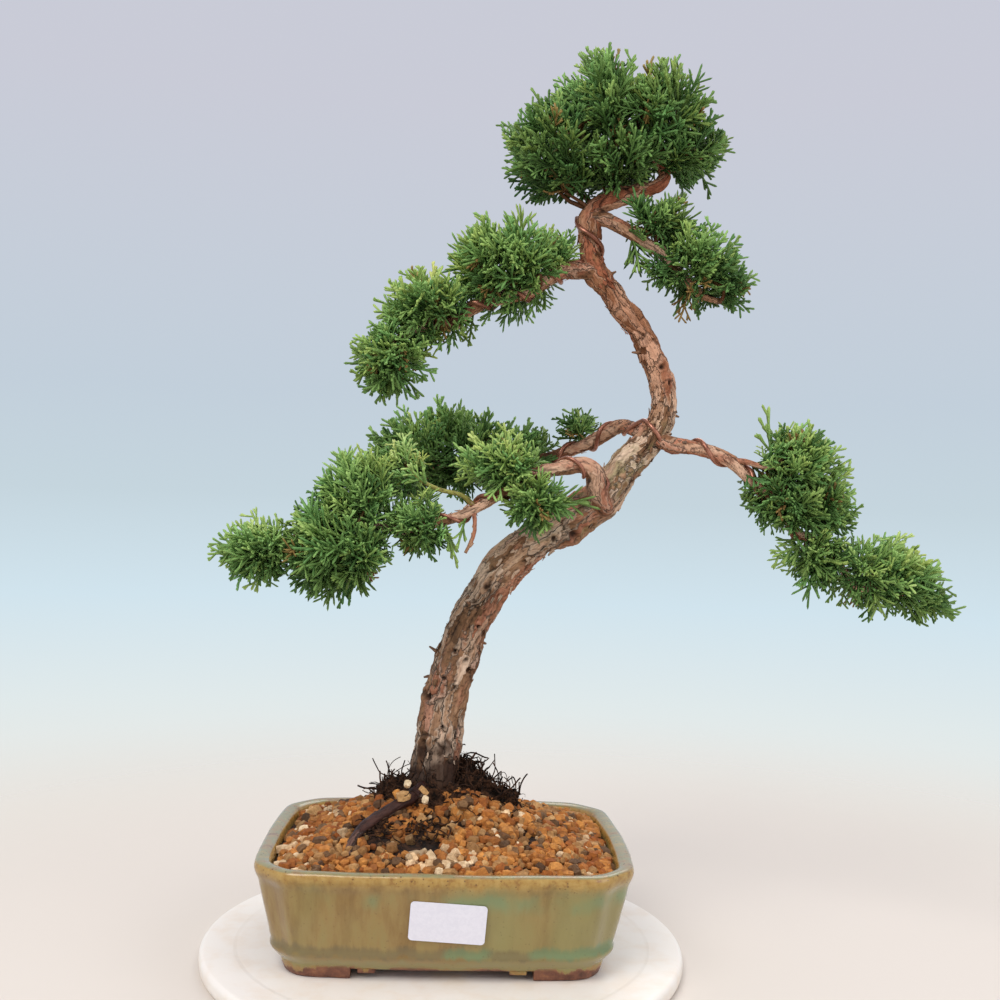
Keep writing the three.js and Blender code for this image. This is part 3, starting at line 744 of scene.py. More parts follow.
def makeGrains():
    draw = random.Random(soilSet["seed"])
    deselectAll()
    shapes = [grainShape(draw) for k in range(7)]
    bed = Heap()
    pitch = soilSet["pitch"]
    rowPitch = pitch * soilSet["rowShare"]
    inset = soilSet["grainInset"]
    inner = potOutline(inset, 1)
    halfWidth, halfDepth = inner[:, 0].max(), inner[:, 1].max()
    cut = potSet["cornerCut"] - inset * (2 - math.sqrt(2))
    for layer, (drop, scale) in enumerate(((2.6, 1.0), (0.6, 1.0))):
        rows = int(2 * halfDepth / rowPitch) + 1
        for row in range(rows + 1):
            for column in range(int(2 * halfWidth / pitch) + 2):
                x = -halfWidth + (column + 0.5 * (row % 2) + 0.37 * layer) * pitch + draw.gauss(0, 0.8)
                y = -halfDepth + (row + 0.4 * layer) * rowPitch + draw.gauss(0, 0.8)
                if abs(x) > halfWidth or abs(y) > halfDepth or abs(x) + abs(y) > halfWidth + halfDepth - cut:
                    continue
                if math.hypot(x - trunkX, y - trunkY) < soilSet["trunkClear"]:
                    continue
                bare = patchiness(x, y)
                if draw.random() < bare * 1.1:
                    continue
                size = draw.choice((3.2, 3.8, 4.4, 5, 5.6, 6.8)) * scale
                kind = chosenKind(draw, x, y)
                share, low, high = soilSet["kinds"][kind]
                tint = np.array(low) + (np.array(high) - np.array(low)) * draw.random()
                tint[:3] *= draw.uniform(0.78, 1.12) * (1 - 0.55 * bare)
                if kind == 3:
                    size *= 0.95
                points, faces = shapes[draw.randrange(len(shapes))]
                points = points * size @ turned(draw).T
                lift = soilHeight(x, y) - drop + draw.uniform(-0.5, 0.7)
                bed.add(points + (x, y, lift), faces, grainTint=np.tile(tint, (len(points), 1)))
    for x, y, z, size, kind in soilSet["pebbles"]:
        points, faces = shapes[draw.randrange(len(shapes))]
        tint = np.array(soilSet["kinds"][kind][2])
        bed.add(points * size @ turned(draw).T + (x, y, z), faces, grainTint=np.tile(tint, (len(points), 1)))
    piece = bed.build("grains", potMiddle)
    shadeSmooth(piece, 30)
    return piece


# Where fine roots lie over the grains instead
def patchiness(x, y):
    spots = ((-43, -26, 8), (-36, -37, 6), (-19, -42, 6), (-9, -43, 5), (-5, -27, 4), (42, -30, 4),
             (-82, 14, 6),
             (-79, 32, 7), (-66, 50, 6), (78, 36, 4))
    return max(math.exp(-((x - a) ** 2 + (y - b) ** 2) / (2 * r * r)) for a, b, r in spots)


# Pale pumice gathers along the front edge and the left corner
def chosenKind(draw, x, y):
    weights = [share for share, low, high in soilSet["kinds"]]
    weights[3] *= 1 + 22 * math.exp(-((x + 2) ** 2 / 260 + (y + 58) ** 2 / 60)) + 9 * (x < -72)
    return draw.choices(range(4), weights)[0]


def makeSoilFinishes():
    fines, tree = newMaterial("soilFines")
    where = places(tree)
    colour, value = mottle(tree, where, 260.0, tone(24, 16, 12), tone(66, 42, 26))
    finishWith(tree, Base_Color=colour, Roughness=0.95, Normal=bump(tree, value, 0.0012))
    grit, tree = newMaterial("firedGrit")
    where = places(tree)
    shade, value = mottle(tree, where, 500.0, tone(214, 206, 198), tone(255, 255, 255))
    colour = blend(tree, 1.0, mark(tree, "grainTint", "Color"), shade, "MULTIPLY")
    dust = step(tree, cloud(tree, where, 190.0, 3.0), 0.56, 0.7)
    colour = blend(tree, dust * 0.25, colour, tone(140, 88, 42))
    pores = specks(tree, where, 1400.0, 0.4)
    height = value - pores * 0.7
    finishWith(tree, Base_Color=colour, Roughness=0.88, Normal=bump(tree, height, 0.00022))
    return fines, grit


finesFinish, gritFinish = makeSoilFinishes()
fines = makeFines()
settle(fines, finesFinish, "grit", "substrate")
grains = makeGrains()
settle(grains, gritFinish, "grit", "substrate")
print("substrate made:", len(grains.data.polygons), "faces")


# --- limbs: lines through given points [x, y, z, radius] from the trunk's foot

limbLines = {
    "trunk": (
        (1, 2, -26, 15), (0, 1, -8, 14.2), (0, 0, 6, 12.6), (0.5, 0, 23, 12.2), (2.5, -1, 41, 12),
        (6, -2, 58, 11.7), (11, -3, 76, 11.7), (17, -4, 93.5, 10.9), (23, -5, 105, 10.7), (31, -6, 118, 10.7),
        (41, -7, 129, 10.7), (51, -8, 138, 10.7), (62, -8, 146, 10.7), (73, -8, 154, 10.5),
        (84, -8, 162, 10.2),
        (93, -7, 170, 9.4), (99, -6, 179, 8.8), (106, -5, 188, 8.5), (116, -4, 199, 8), (122.5, -3, 212, 6.9),
        (123.5, -3, 223, 6.4), (121.5, -3, 234, 6.2), (117, -3, 244, 5.9), (112.5, -3, 253, 5.9),
        (108.5, -3, 261, 6.3), (101.5, -4, 269.5, 6.8), (95.5, -5, 276, 6.3), (90, -6, 284, 5.9),
        (83, -6, 293, 6.5), (79, -6, 303, 6.1), (77.5, -6, 314, 6), (77, -6, 322, 5.6), (81, -6, 330, 5),
        (88, -6, 334, 4.7), (96, -8, 336.5, 4.5), (110, -10, 341, 4), (120, -9, 349, 3.2),
        (115, -8, 360, 2.6),
        (106, -6, 372, 2),
    ),
    "branch_low_left": (
        (93, -5, 161, 6.2), (89, -13, 160.5, 6.3), (86, -20, 165, 6), (84, -24, 171, 5.6),
        (82, -28, 178, 5.2),
        (75, -31, 181.5, 4.6), (62, -33, 179.5, 3.9), (50.5, -35, 176.5, 3.5), (34.5, -37, 167.5, 3.3),
        (24, -39, 161, 3.2), (8.5, -42, 152, 2.9), (-2, -43, 148.5, 2.6), (-18, -45, 144, 2.2),
        (-38, -47, 146, 1.9), (-57, -48, 148, 1.7), (-75, -50, 139, 1.5), (-92, -53, 130, 1.3),
    ),
    "branch_rear_left": (
        (122, -3, 200, 4.4), (113, 4, 203.5, 4.1), (102, 16, 208, 3.9), (93.5, 24, 203, 3.9),
        (85, 30, 198, 3.8),
        (76, 36, 194, 3.6), (57, 42, 188, 3.3), (33, 46, 186, 3), (0, 50, 185, 2.5), (-22, 52, 180, 1.9),
    ),
    "branch_right": (
        (118, -4, 200, 5), (126.5, -11, 196.5, 4.4), (137, -18, 194.5, 4), (148, -22, 191.5, 3.7),
        (158, -25, 187, 3.4), (166, -27, 179, 3.1), (171, -28, 175, 2.9), (185.5, -29, 164.5, 2.7),
        (194, -30, 149.5, 2.5), (207.5, -30, 143, 2.3), (217, -30, 134, 2.2), (228, -30, 120.5, 2),
        (242, -30, 117.5, 1.8), (257, -30, 114, 1.4),
    ),
    "branch_mid_left": (
        (84, -6, 293, 5.4), (77.5, -9, 293, 5), (62, -13, 291, 4.5), (52.5, -17, 285, 4),
        (46, -20, 278.5, 3.7),
        (19, -26, 269.5, 3), (5, -28, 260, 2.7), (-9, -30, 255, 2.5), (-23, -32, 250, 2.2),
        (-31, -33, 244, 1.8),
    ),
    "branch_upper_right": (
        (77, -6, 323, 4.6), (84, -9, 323, 4.1), (95.5, -12, 318, 3.7), (107.5, -16, 309, 3.4),
        (116.5, -18, 304, 3.1), (130, -22, 288, 2.5), (139, -24, 279, 2), (149, -26, 275, 1.5),
    ),
    "twig_right": ((158, -25, 187, 2), (164, -28, 187, 1.7), (178, -34, 184, 1.3), (185, -36, 190, 1)),
    "twig_green": (
        (17, -40, 157, 1.6), (10, -44, 163, 1.3), (-3, -45, 166, 1.1), (-13, -44, 171, 1),
        (-19, -42, 178, 0.9),
    ),
    "twig_dead": ((16, -40, 156, 1.5), (17, -43, 149, 1.2), (16.5, -44, 142, 1.1), (12.5, -45, 132.5, 0.8)),
    "surface_root": (  # heights here are above the mound
        (-3, -7, 3, 5), (-10, -17, 4, 4), (-19, -26, 4, 3.3), (-29, -34, 3.2, 3), (-38, -44, 2.4, 2.8),
        (-42, -54, 1.2, 2.5), (-44, -62, -3, 2),
    ),
}


# Evenly spaced places and radii on a smooth line, with a frame at each: along, to the front, and to the side
class Limb:
    def __init__(self, line, spacing):
        marks = [np.array(point, float) for point in line]
        marks = [2 * marks[0] - marks[1]] + marks + [2 * marks[-1] - marks[-2]]
        fine = []
        for before, start, end, after in zip(marks, marks[1:], marks[2:], marks[3:]):
            gaps = [math.sqrt(max(np.linalg.norm((b - a)[:3]), 1e-6))
                    for a, b in ((before, start), (start, end), (end, after))]
            leave = self.slope(before, start, end, gaps[0], gaps[1]) * gaps[1]
            arrive = self.slope(start, end, after, gaps[1], gaps[2]) * gaps[1]
            for t in np.linspace(0, 1, 12, endpoint=False):
                fine.append(start * (2 * t**3 - 3 * t**2 + 1) + leave * (t**3 - 2 * t**2 + t)
                            + end * (3 * t**2 - 2 * t**3) + arrive * (t**3 - t**2))
        fine = np.array(fine + [marks[-2]])
        along = np.concatenate([[0], np.cumsum(np.linalg.norm(np.diff(fine[:, :3], axis=0), axis=1))])
        self.length = along[-1]
        self.stations = np.linspace(0, self.length, max(3, round(self.length / spacing)) + 1)
        even = np.column_stack([np.interp(self.stations, along, fine[:, k]) for k in range(4)])
        self.places, self.radii = even[:, :3], even[:, 3]
        tangents = np.gradient(self.places, axis=0)
        self.along = tangents / np.linalg.norm(tangents, axis=1)[:, None]
        front = np.array((0, -1, 0)) - self.along * self.along[:, 1:2] * -1
        self.front = front / np.linalg.norm(front, axis=1)[:, None]
        self.side = np.cross(self.along, self.front)

    def slope(self, a, b, c, first, second):
        return (b - a) / first - (c - a) / (first + second) + (c - b) / second

    # A point at a share of the length, at an angle from the front, at a distance from the middle
    def at(self, share, angle, reach):
        i = share * (len(self.places) - 1)
        k = np.arange(len(self.places))
        place, front, side = (np.array([np.interp(i, k, rows[:, axis]) for axis in range(3)])
                              for rows in (self.places, self.front, self.side))
        return place + (front * math.cos(angle) + side * math.sin(angle)) * reach

    # The way out of the limb at a station, at an angle from the front
    def outward(self, i, angle):
        return self.front[i] * math.cos(angle) + self.side[i] * math.sin(angle)

    def stationAt(self, height):
        return int(np.argmin(np.abs(self.places[:, 2] - height)))

    def radiusAt(self, share):
        return float(np.interp(share * (len(self.radii) - 1), np.arange(len(self.radii)), self.radii))

    # Points of a wire wound round the limb
    def coil(self, start, end, angle, turns, reach):
        steps = max(4, round(abs(turns) * 16))
        return [self.at(start + (end - start) * t, angle + turn * turns * t,
                        self.radiusAt(start + (end - start) * t) + reach)
                for t in np.linspace(0, 1, steps + 1)]


spacings = {"trunk": 0.95}
limbs = {}
for name, line in limbLines.items():
    if name == "surface_root":
        line = [(x, y, soilHeight(trunkX + x, trunkY + y) + up - moundTop, radius)
                for x, y, up, radius in line]
    limbs[name] = Limb(line, spacings.get(name, 0.8))

barkSet = {
    "seed": 5, "knotScale": 1.25, "flakesTop": 325, "flareTop": 18,
    # flake width and length, how thick the flakes are, how far the limb itself is uneven, sides round it
    "trunk": dict(width=7, length=20, thick=2.5, uneven=1.7, sides=104, flakes=720),
    "branch_low_left": dict(width=5, length=13, thick=1.0, uneven=0.8, sides=36, flakes=60),
    "branch_rear_left": dict(width=5, length=15, thick=0.7, uneven=0.6, sides=32, flakes=24),
    "branch_right": dict(width=4.5, length=12, thick=0.8, uneven=0.7, sides=32, flakes=44),
    "branch_mid_left": dict(width=5, length=10, thick=1.1, uneven=0.8, sides=36, flakes=60),
    "branch_upper_right": dict(width=4, length=10, thick=0.9, uneven=0.6, sides=30, flakes=30),
    "twig_right": dict(width=3, length=8, thick=0.2, uneven=0.2, sides=14, flakes=0),
    "twig_green": dict(width=3, length=8, thick=0.15, uneven=0.2, sides=14, flakes=0),
    "twig_dead": dict(width=2, length=5, thick=0.4, uneven=0.4, sides=14, flakes=6),
    "surface_root": dict(width=7, length=26, thick=0.8, uneven=0.9, sides=40, flakes=0),
    # knots on the trunk: height above the foot, angle from the front, radius
    "knots": (
        (50, -0.95, 3.6), (62, -0.3, 1.9), (69, 0.72, 2.6), (74, 0.42, 1.8), (58, 0.25, 1.6), (77, -0.2, 2.0),
        (101, -0.55, 2.1), (112, -0.25, 2.7), (36, 0.1, 1.4), (88, 2.4, 2.6), (58, 3.4, 2.2), (124, 3.0, 2.8),
        (146, 2.2, 2.4), (239, 0.2, 2.3), (230, 0.5, 1.9), (262, 3.1, 1.9), (205, -0.4, 1.8), (40, 2.2, 2.2),
        (150, 0.75, 3.6), (144, 0.3, 2.6), (157, 1.1, 2.6), (25, -0.7, 2.2), (93, 0.5, 1.7),
    ),
    # swellings: height above the foot, angle from the front, reach along, how far they stand out
    "swellings": (
        (150, 1.3, 16, 2.6), (166, 2.0, 14, 2.4), (182, 0.3, 12, 2.2), (198, -1.2, 12, 1.8),
        (293, -1.4, 12, 2.2),
        (318, 0.8, 9, 1.6), (128, -1.2, 12, 1.2), (76, 1.4, 12, 1.4), (232, -1.6, 10, 1.2),
    ),
}


def hashed(point):
    return (math.sin(point.x * 12.9898 + point.y * 78.233 + point.z * 37.719) * 43758.5453) % 1


def clamp01(value):
    return min(1.0, max(0.0, value))


# Relief and colour marks of the bark at one point: lift in mm, plate tone, crack darkness with the painted
# shadow under torn edges, raw under-bark.
# The bark lies in sheets, one over another, whose torn edges run mostly along the limb.
def barkAt(rolled, shape, seed):
    where = Vector(rolled)
    bent = where + noise.noise_vector(where * 0.16) * 1.4 + noise.noise_vector(where * 0.6) * 0.45
    stretched = Vector((bent.x / shape["width"], bent.y / shape["width"],
                        bent.z / shape["length"] + seed * 9.7))
    sheets = clamp01(0.5 + 0.75 * noise.fractal(stretched * 0.8, 0.9, 2.1, 4)) * 5
    layer = math.floor(sheets)
    inSheet = sheets - layer
    edge = clamp01(inSheet / 0.16)
    height = (layer + edge) / 5
    cell = stretched * 0.75 + Vector((3.1, 7.7, 0))
    distances, points = noise.voronoi(cell)
    split = 1 - clamp01((distances[1] - distances[0]) / 0.07)
    split *= clamp01(hashed(points[0] + points[1]) * 2.4 - 0.9)
    plate = 0.55 * hashed(points[0]) + 0.45 * ((layer * 0.37 + seed * 0.13) % 1)
    under = math.exp(-((inSheet - 0.03) ** 2) / 0.003)  # the shadow below a torn edge
    crackAndShadow = clamp01(0.75 * under + split)
    lift = shape["thick"] * (height - 0.45 - 0.5 * split)
    raw = clamp01((noise.noise(Vector((where.x / 8, where.y / 8, where.z / 24 + seed))) - 0.12) * 6)
    raw *= clamp01(1.2 - 0.3 * layer)
    fibres = noise.noise(Vector((where.x * 1.3, where.y * 1.3, where.z * 0.2)))
    lift += 0.14 * shape["thick"] * fibres
    return lift, plate, crackAndShadow, raw


# The shorter way round from one angle to another
def arc(angle, middle):
    return (angle - middle + math.pi) % turn - math.pi


# A limb's points round its line, and what its bark needs to know at each of them
def limbMesh(name):
    limb, shape = limbs[name], barkSet[name]
    seed = list(limbLines).index(name)
    sides = shape["sides"]
    angles = np.arange(sides) / sides * turn
    points, marks, rolled, holes = [], [], [], []
    knots, swellings = [], []
    if name == "trunk":
        for z, angle, size in barkSet["knots"]:
            knots.append((limb.stationAt(z), angle, size * barkSet["knotScale"]))
        for z, angle, reach, up in barkSet["swellings"]:
            swellings.append((limb.stationAt(z), angle, reach, up))
    for i, (place, radius) in enumerate(zip(limb.places, limb.radii)):
        station = limb.stations[i]
        nearKnots = [knot for knot in knots if abs(knot[0] - i) < 9]
        nearSwellings = [swell for swell in swellings
                         if abs(limb.stations[swell[0]] - station) < 2.2 * swell[2]]
        for angle in angles:
            flat = (radius * math.cos(angle), radius * math.sin(angle), station)
            lift, plate, crackAndShadow, raw = barkAt(flat, shape, seed)
            broad = noise.noise(Vector(flat) * 0.055 + Vector((seed, 0, 0)))
            lift += shape["uneven"] * (0.9 * broad + 0.45 * noise.noise(Vector(flat) * 0.17))
            hole = 0.0
            if name == "trunk" and place[2] < barkSet["flareTop"]:
                lift += (barkSet["flareTop"] - place[2]) * 0.1 * (1 + 0.8 * math.sin(angle * 3 + 1.2))
            for k, middle, reach, up in nearSwellings:
                aside = arc(angle, middle) * radius
                away = math.hypot(aside * 1.2, limb.stations[k] - station) / reach
                lift += up * math.exp(-2.2 * away * away) * (0.8 + 0.5 * broad)
            for k, middle, size in nearKnots:
                aside = arc(angle, middle) * radius
                away = math.hypot(aside, limb.stations[k] - station) / size
                lift += 1.5 * math.exp(-((away - 0.9) ** 2) / 0.1) - 2.2 * math.exp(-(away**2) / 0.16)
                hole = max(hole, math.exp(-(away**2) / 0.2))
            reach = radius + lift
            points.append(place + limb.outward(i, angle) * reach)
            marks.append((plate, crackAndShadow, raw, 0.0))
            holes.append(hole)
            rolled.append(flat)
    return limb, np.array(points), np.array(marks), np.array(rolled), np.array(holes)


# A thin curled chip of bark: its root end at the origin, its free end along +Z and lifting towards +X
def chipShape():
    deselectAll()
    bpy.ops.mesh.primitive_cube_add(size=1, location=(0, 0, 0.5))
    chip = bpy.context.object
    bpy.ops.object.transform_apply(location=True)
    bpy.ops.object.mode_set(mode="EDIT")
    for k in (0.25, 0.5, 0.75):
        bpy.ops.mesh.select_all(action="SELECT")
        bpy.ops.mesh.bisect(plane_co=(0, 0, k), plane_no=(0, 0, 1))
    bpy.ops.object.mode_set(mode="OBJECT")
    points, faces = takeMesh(chip)
    z = points[:, 2]
    points[:, 1] *= 1 - 0.55 * z**2  # narrows to its free end
    points[:, 0] = points[:, 0] * (0.16 - 0.08 * z) + 0.35 * z**1.7 + 0.12 * (points[:, 1] ** 2)
    return points, faces


def addFlakes(heap, name, chip, draw):
    limb, shape = limbs[name], barkSet[name]
    points, faces = chip
    for k in range(shape["flakes"]):
        share = draw.uniform(0.03, 0.93)
        i = int(share * (len(limb.places) - 1))
        if name == "trunk" and limb.places[i][2] > barkSet["flakesTop"]:
            continue
        angle = draw.uniform(0, turn)
        radius = limb.radii[i]
        out = limb.outward(i, angle)
        way = limb.along[i] * draw.choice((-1, -1, 1))
        tilt = draw.uniform(-0.35, 0.35)
        across = np.cross(way, out)
        way = way * math.cos(tilt) + across * math.sin(tilt)
        across = np.cross(way, out)
        length = draw.uniform(1.4, 5.2) * (1 if name == "trunk" else 0.7)
        size = np.array((length * draw.uniform(0.5, 1.1), length * draw.uniform(0.35, 0.8), length))
        axes = np.stack([out, across, way])
        flake = (points * size) @ axes + limb.places[i] + out * (radius - 0.1)
        rolled = np.column_stack([np.full(len(points), radius), points[:, 1] * size[1],
                                  limb.stations[i] + points[:, 2] * size[2]])
        tint = draw.random()
        signs = np.tile((tint, 0.15, 0.0, 0.0), (len(points), 1))
        warm = warmthAt(name, limb.places[i][2])
        heap.add(flake, faces, barkMarks=signs, rolled=rolled * mm, damp=0.0, warm=warm)


# The upper trunk and the branches are redder than the old wood below
def warmthAt(name, height):
    return np.clip((height - 195) / 45, 0, 1) * 0.85 if name == "trunk" else 0.5 + 0 * height


# Tan plates over salmon under-bark, grey-green crust below the fork, dark and damp at the foot; painted shade
# in the knot hollows, painted shadow under torn edges and painted highlights on flake rims
def makeBark(name, palette):
    material, tree = newMaterial(name)
    signs = addNode(tree, "ShaderNodeSeparateColor", {0: mark(tree, "barkMarks", "Color")})
    plate, crackAndShadow, raw = valuesOf(tree, signs)[:3]
    crust = mark(tree, "barkMarks", "Alpha")
    rolled = mark(tree, "rolled", "Vector")
    fibres = cloud(tree, places(tree, (1, 1, 0.16), source=rolled), 900.0, 5.0, 0.65)
    patches = cloud(tree, places(tree, (1, 1, 0.45), source=rolled), 170.0, 4.0, 0.6)
    wander = addNode(tree, "ShaderNodeTexNoise", {"Vector": rolled, "Scale": 260.0, "Detail": 3.0})
    shift = addNode(tree, "ShaderNodeVectorMath", {0: wander.outputs["Color"], 1: (0.004, 0.004, 0.006)},
                    operation="MULTIPLY").outputs[0]
    bent = addNode(tree, "ShaderNodeVectorMath", {0: rolled, 1: shift}, operation="ADD").outputs[0]
    flakeSpace = places(tree, (1, 1, palette["stretch"]), source=bent)
    flakes = addNode(tree, "ShaderNodeTexVoronoi", {"Vector": flakeSpace, "Scale": palette["flakes"]})
    rims = addNode(tree, "ShaderNodeTexVoronoi", {"Vector": flakeSpace, "Scale": palette["flakes"]},
                   feature="DISTANCE_TO_EDGE").outputs["Distance"]
    own = valuesOf(tree, addNode(tree, "ShaderNodeSeparateColor", {0: flakes.outputs["Color"]}))
    gap = 1.0 - step(tree, rims, 0.0, 0.06)
    gap = gap * step(tree, own[1] + patches, 0.8, 1.3)
    tint = plate * 0.24 + patches * 0.3
    tint = tint + own[0] * 0.5
    colour = ramp(tree, tint, *palette["plates"])
    rawColour = mottle(tree, rolled, 300.0, *palette["raw"])[0]
    under = sums(tree, "MAXIMUM", raw, step(tree, own[2], 0.82, 0.86))
    colour = blend(tree, under * 0.7, colour, rawColour)
    crustColour = mottle(tree, rolled, 420.0, tone(96, 88, 52), tone(150, 142, 100))[0]
    flecked = crust * step(tree, patches, 0.42, 0.56)
    colour = blend(tree, flecked * 0.8, colour, crustColour)
    shade = ramp(tree, fibres, (0.3, tone(170, 162, 156)), (0.55, tone(255, 255, 255)))
    colour = blend(tree, 0.8, colour, shade, "MULTIPLY")
    # painted highlight: lighter rims along the edges of the flakes
    rimHighlight = step(tree, rims, 0.22, 0.1) * step(tree, own[1], 0.55, 0.8)
    colour = blend(tree, rimHighlight * 0.4, colour, tone(222, 200, 178))
    # the dark of cracks and gaps, with the painted shadow under torn bark edges
    dark = sums(tree, "MAXIMUM", crackAndShadow * 0.9, gap * palette["gaps"])
    colour = blend(tree, dark, colour, tone(*palette["crackAndShadow"]))
    warm = blend(tree, 1.0, colour, tone(238, 200, 184), "MULTIPLY")
    colour = blend(tree, mark(tree, "warm"), colour, warm)
    wetAndShaded = mark(tree, "damp")
    colour = blend(tree, wetAndShaded, colour, blend(tree, patches, tone(28, 15, 7), tone(66, 40, 22)))
    height = fibres * 0.5 + own[0] * 1.3
    height = height - gap * 1.5
    rough = palette["rough"] - wetAndShaded * 0.05
    finishWith(tree, Base_Color=colour, Roughness=rough, Specular_IOR_Level=0.35,
               Normal=bump(tree, height, 0.0012, 1.0))
    return material


barkPalettes = {
    "wood": dict(
        plates=((0.22, tone(104, 74, 50)), (0.38, tone(152, 114, 84)), (0.52, tone(184, 146, 116)),
                (0.7, tone(220, 190, 164))),
        raw=(tone(154, 94, 68), tone(196, 132, 106)), crackAndShadow=(40, 27, 18), rough=0.85, flakes=200.0,
        stretch=0.22,
        gaps=0.55,
    ),
    "root": dict(
        plates=((0.25, tone(36, 22, 18)), (0.5, tone(62, 38, 31)), (0.75, tone(96, 66, 56))),
        raw=(tone(54, 32, 28), tone(80, 52, 46)), crackAndShadow=(22, 14, 11), rough=0.5, flakes=160.0, stretch=0.2,
        gaps=0.8,
    ),
    "green": dict(
        plates=((0.25, tone(128, 122, 62)), (0.5, tone(146, 152, 76)), (0.75, tone(160, 170, 92))),
        raw=(tone(150, 110, 66), tone(158, 150, 80)), crackAndShadow=(96, 78, 44), rough=0.7, flakes=300.0,
        stretch=0.3,
        gaps=0.3,
    ),
}
barks = {key: makeBark(f"{key}Bark", palette) for key, palette in barkPalettes.items()}
limbFinishes = {"surface_root": ("root", "root_bark"), "twig_green": ("green", "green_bark")}


def makeLimb(name, chip):
    draw = random.Random(barkSet["seed"] + len(name))
    limb, points, marks, rolled, holes = limbMesh(name)
    heights = points[:, 2]
    # damp and darker at the foot; painted shade in the knot hollows
    damp = np.clip(1.5 * holes, 0, 0.97)
    if name == "trunk":
        wander = np.array([noise.noise(Vector(p) * 0.12) for p in points])
        damp = np.maximum(damp, np.clip((27 + 14 * wander - heights) / 16, 0, 1) * 0.95)
        band = np.exp(-((heights - 172) / 34) ** 2) + 0.6 * np.exp(-((heights - 300) / 16) ** 2)
        marks[:, 3] = np.clip(band * (0.7 + 1.2 * wander), 0, 1)
        # the long bare stripe down the trunk's right side
        facing = rolled[:, 1] / np.maximum(1e-6, np.hypot(rolled[:, 0], rolled[:, 1]))
        stripe = np.clip((facing - 0.45) * 3, 0, 1) * np.exp(-((heights - 118) / 38) ** 2)
        marks[:, 2] = np.clip(marks[:, 2] + stripe * (1 - marks[:, 1]), 0, 1)
    heap = Heap()
    ends = np.array([limb.places[0], limb.places[-1]])
    tail = [0, len(points) - 1]
    heap.add(np.concatenate([points, ends]), ringFaces(len(limb.places), barkSet[name]["sides"]),
             barkMarks=np.concatenate([marks, marks[tail]]),
             rolled=np.concatenate([rolled, rolled[tail]]) * mm,
             damp=np.concatenate([damp, damp[tail]]),
             warm=np.concatenate([warmthAt(name, heights), warmthAt(name, heights[tail])]))
    addFlakes(heap, name, chip, draw)
    if name == "trunk":
        addStubs(heap, draw)
    plainName = name.replace("branch", "limb").replace("twig", "shoot")
    piece = heap.build({"trunk": "trunkBark", "surface_root": "thickRoot"}.get(name, plainName))
    finish, slotName = limbFinishes.get(name, ("wood", "bark"))
    settle(piece, barks[finish], slotName, name)


# Short dead spikes where twigs broke off the trunk
def addStubs(heap, draw):
    limb = limbs["trunk"]
    for height, angle, length in ((72, -1.5, 6), (102, -0.5, 5), (166, 1.4, 4), (251, -1.3, 5), (58, -1.7, 4),
                                  (214, 1.5, 4), (84, 1.6, 3), (134, 2.9, 5), (288, 1.5, 4)):
        i = limb.stationAt(height)
        out = limb.outward(i, angle)
        start = limb.places[i] + out * (limb.radii[i] - 1)
        way = out + limb.along[i] * draw.uniform(-0.4, 0.6)
        spike = [start, start + way * length * 0.5, start + way * length + limb.along[i] * draw.gauss(0, 1)]
        tube(heap, spike, (1.3, 0.9, 0.5), 6, barkMarks=np.tile((0.3, 0.2, 0, 0), (20, 1)),
             rolled=np.zeros((20, 3)), damp=0.4, warm=0.3)


chip = chipShape()
for name in limbLines:
    makeLimb(name, chip)
print("limbs made")


# --- training wires, pressed close to the bark

wireSet = {
    "reach": 1.3, "sides": 10, "forkHeight": 203,
    "radii": {"wire_low_left": 1.15, "wire_rear_to_right": 1.3, "wire_upper": 1.5},
}


def makeWireFinish():
    material, tree = newMaterial("copperTone")
    where = places(tree)
    colour = mottle(tree, where, 240.0, tone(122, 76, 60), tone(158, 106, 86))[0]
    scratches = cloud(tree, where, 1500.0, 3.0)
    rough = scratches * 0.3 + 0.16
    finishWith(tree, Base_Color=colour, Metallic=0.55, Roughness=rough,
               Normal=bump(tree, scratches, 0.0001, 0.4))
    return material


def smoothed(points, rounds=2):
    points = np.array(points)
    for k in range(rounds):
        points[1:-1] = points[1:-1] * 0.5 + (points[:-2] + points[2:]) * 0.25
    return points


def makeWires():
    reach = wireSet["reach"]
    trunk = limbs["trunk"]
    fork = trunk.stationAt(wireSet["forkHeight"]) / (len(trunk.places) - 1)
    routes = {
        "wire_low_left": trunk.coil(0.395, 0.425, -0.6 * turn, 0.5, reach)
        + limbs["branch_low_left"].coil(0.1, 0.62, 0.1 * turn, 4.6, reach),
        "wire_rear_to_right": limbs["branch_rear_left"].coil(0.72, 0.12, 0.3 * turn, 3.6, reach)
        + trunk.coil(fork + 0.012, fork - 0.012, -0.3 * turn, 0.5, reach + 0.4)
        + limbs["branch_right"].coil(0.08, 0.62, 0.32 * turn, 3.2, reach),
        "wire_upper": trunk.coil(0.835, 0.78, -0.3 * turn, 0.8, reach)
        + limbs["branch_mid_left"].coil(0.1, 0.82, 0.15 * turn, 4.2, reach),
    }
    finish = makeWireFinish()
    for name, route in routes.items():
        heap = Heap()
        tube(heap, smoothed(route), wireSet["radii"][name], wireSet["sides"])
        piece = heap.build(name.replace("wire_", "coil_"))
        settle(piece, finish, "training_wire", name)


makeWires()
print("wires made")


# --- root mat: a crumbly dark lump with fine roots standing out of it

matSet = {
    "seed": 11, "fibres": 760, "strands": 620, "looseRoots": 70,
    # lumps round the trunk's foot: x, y, z, half width, half depth, half height
    "lumps": ((5, -1, -9, 35, 24, 12), (17, 1, -4, 16, 14, 11.5), (-17, 2, -6, 16, 14, 8),
              (12, 10, 1, 11, 9, 13),
              (34, -2, -10, 13, 13, 8)),
}


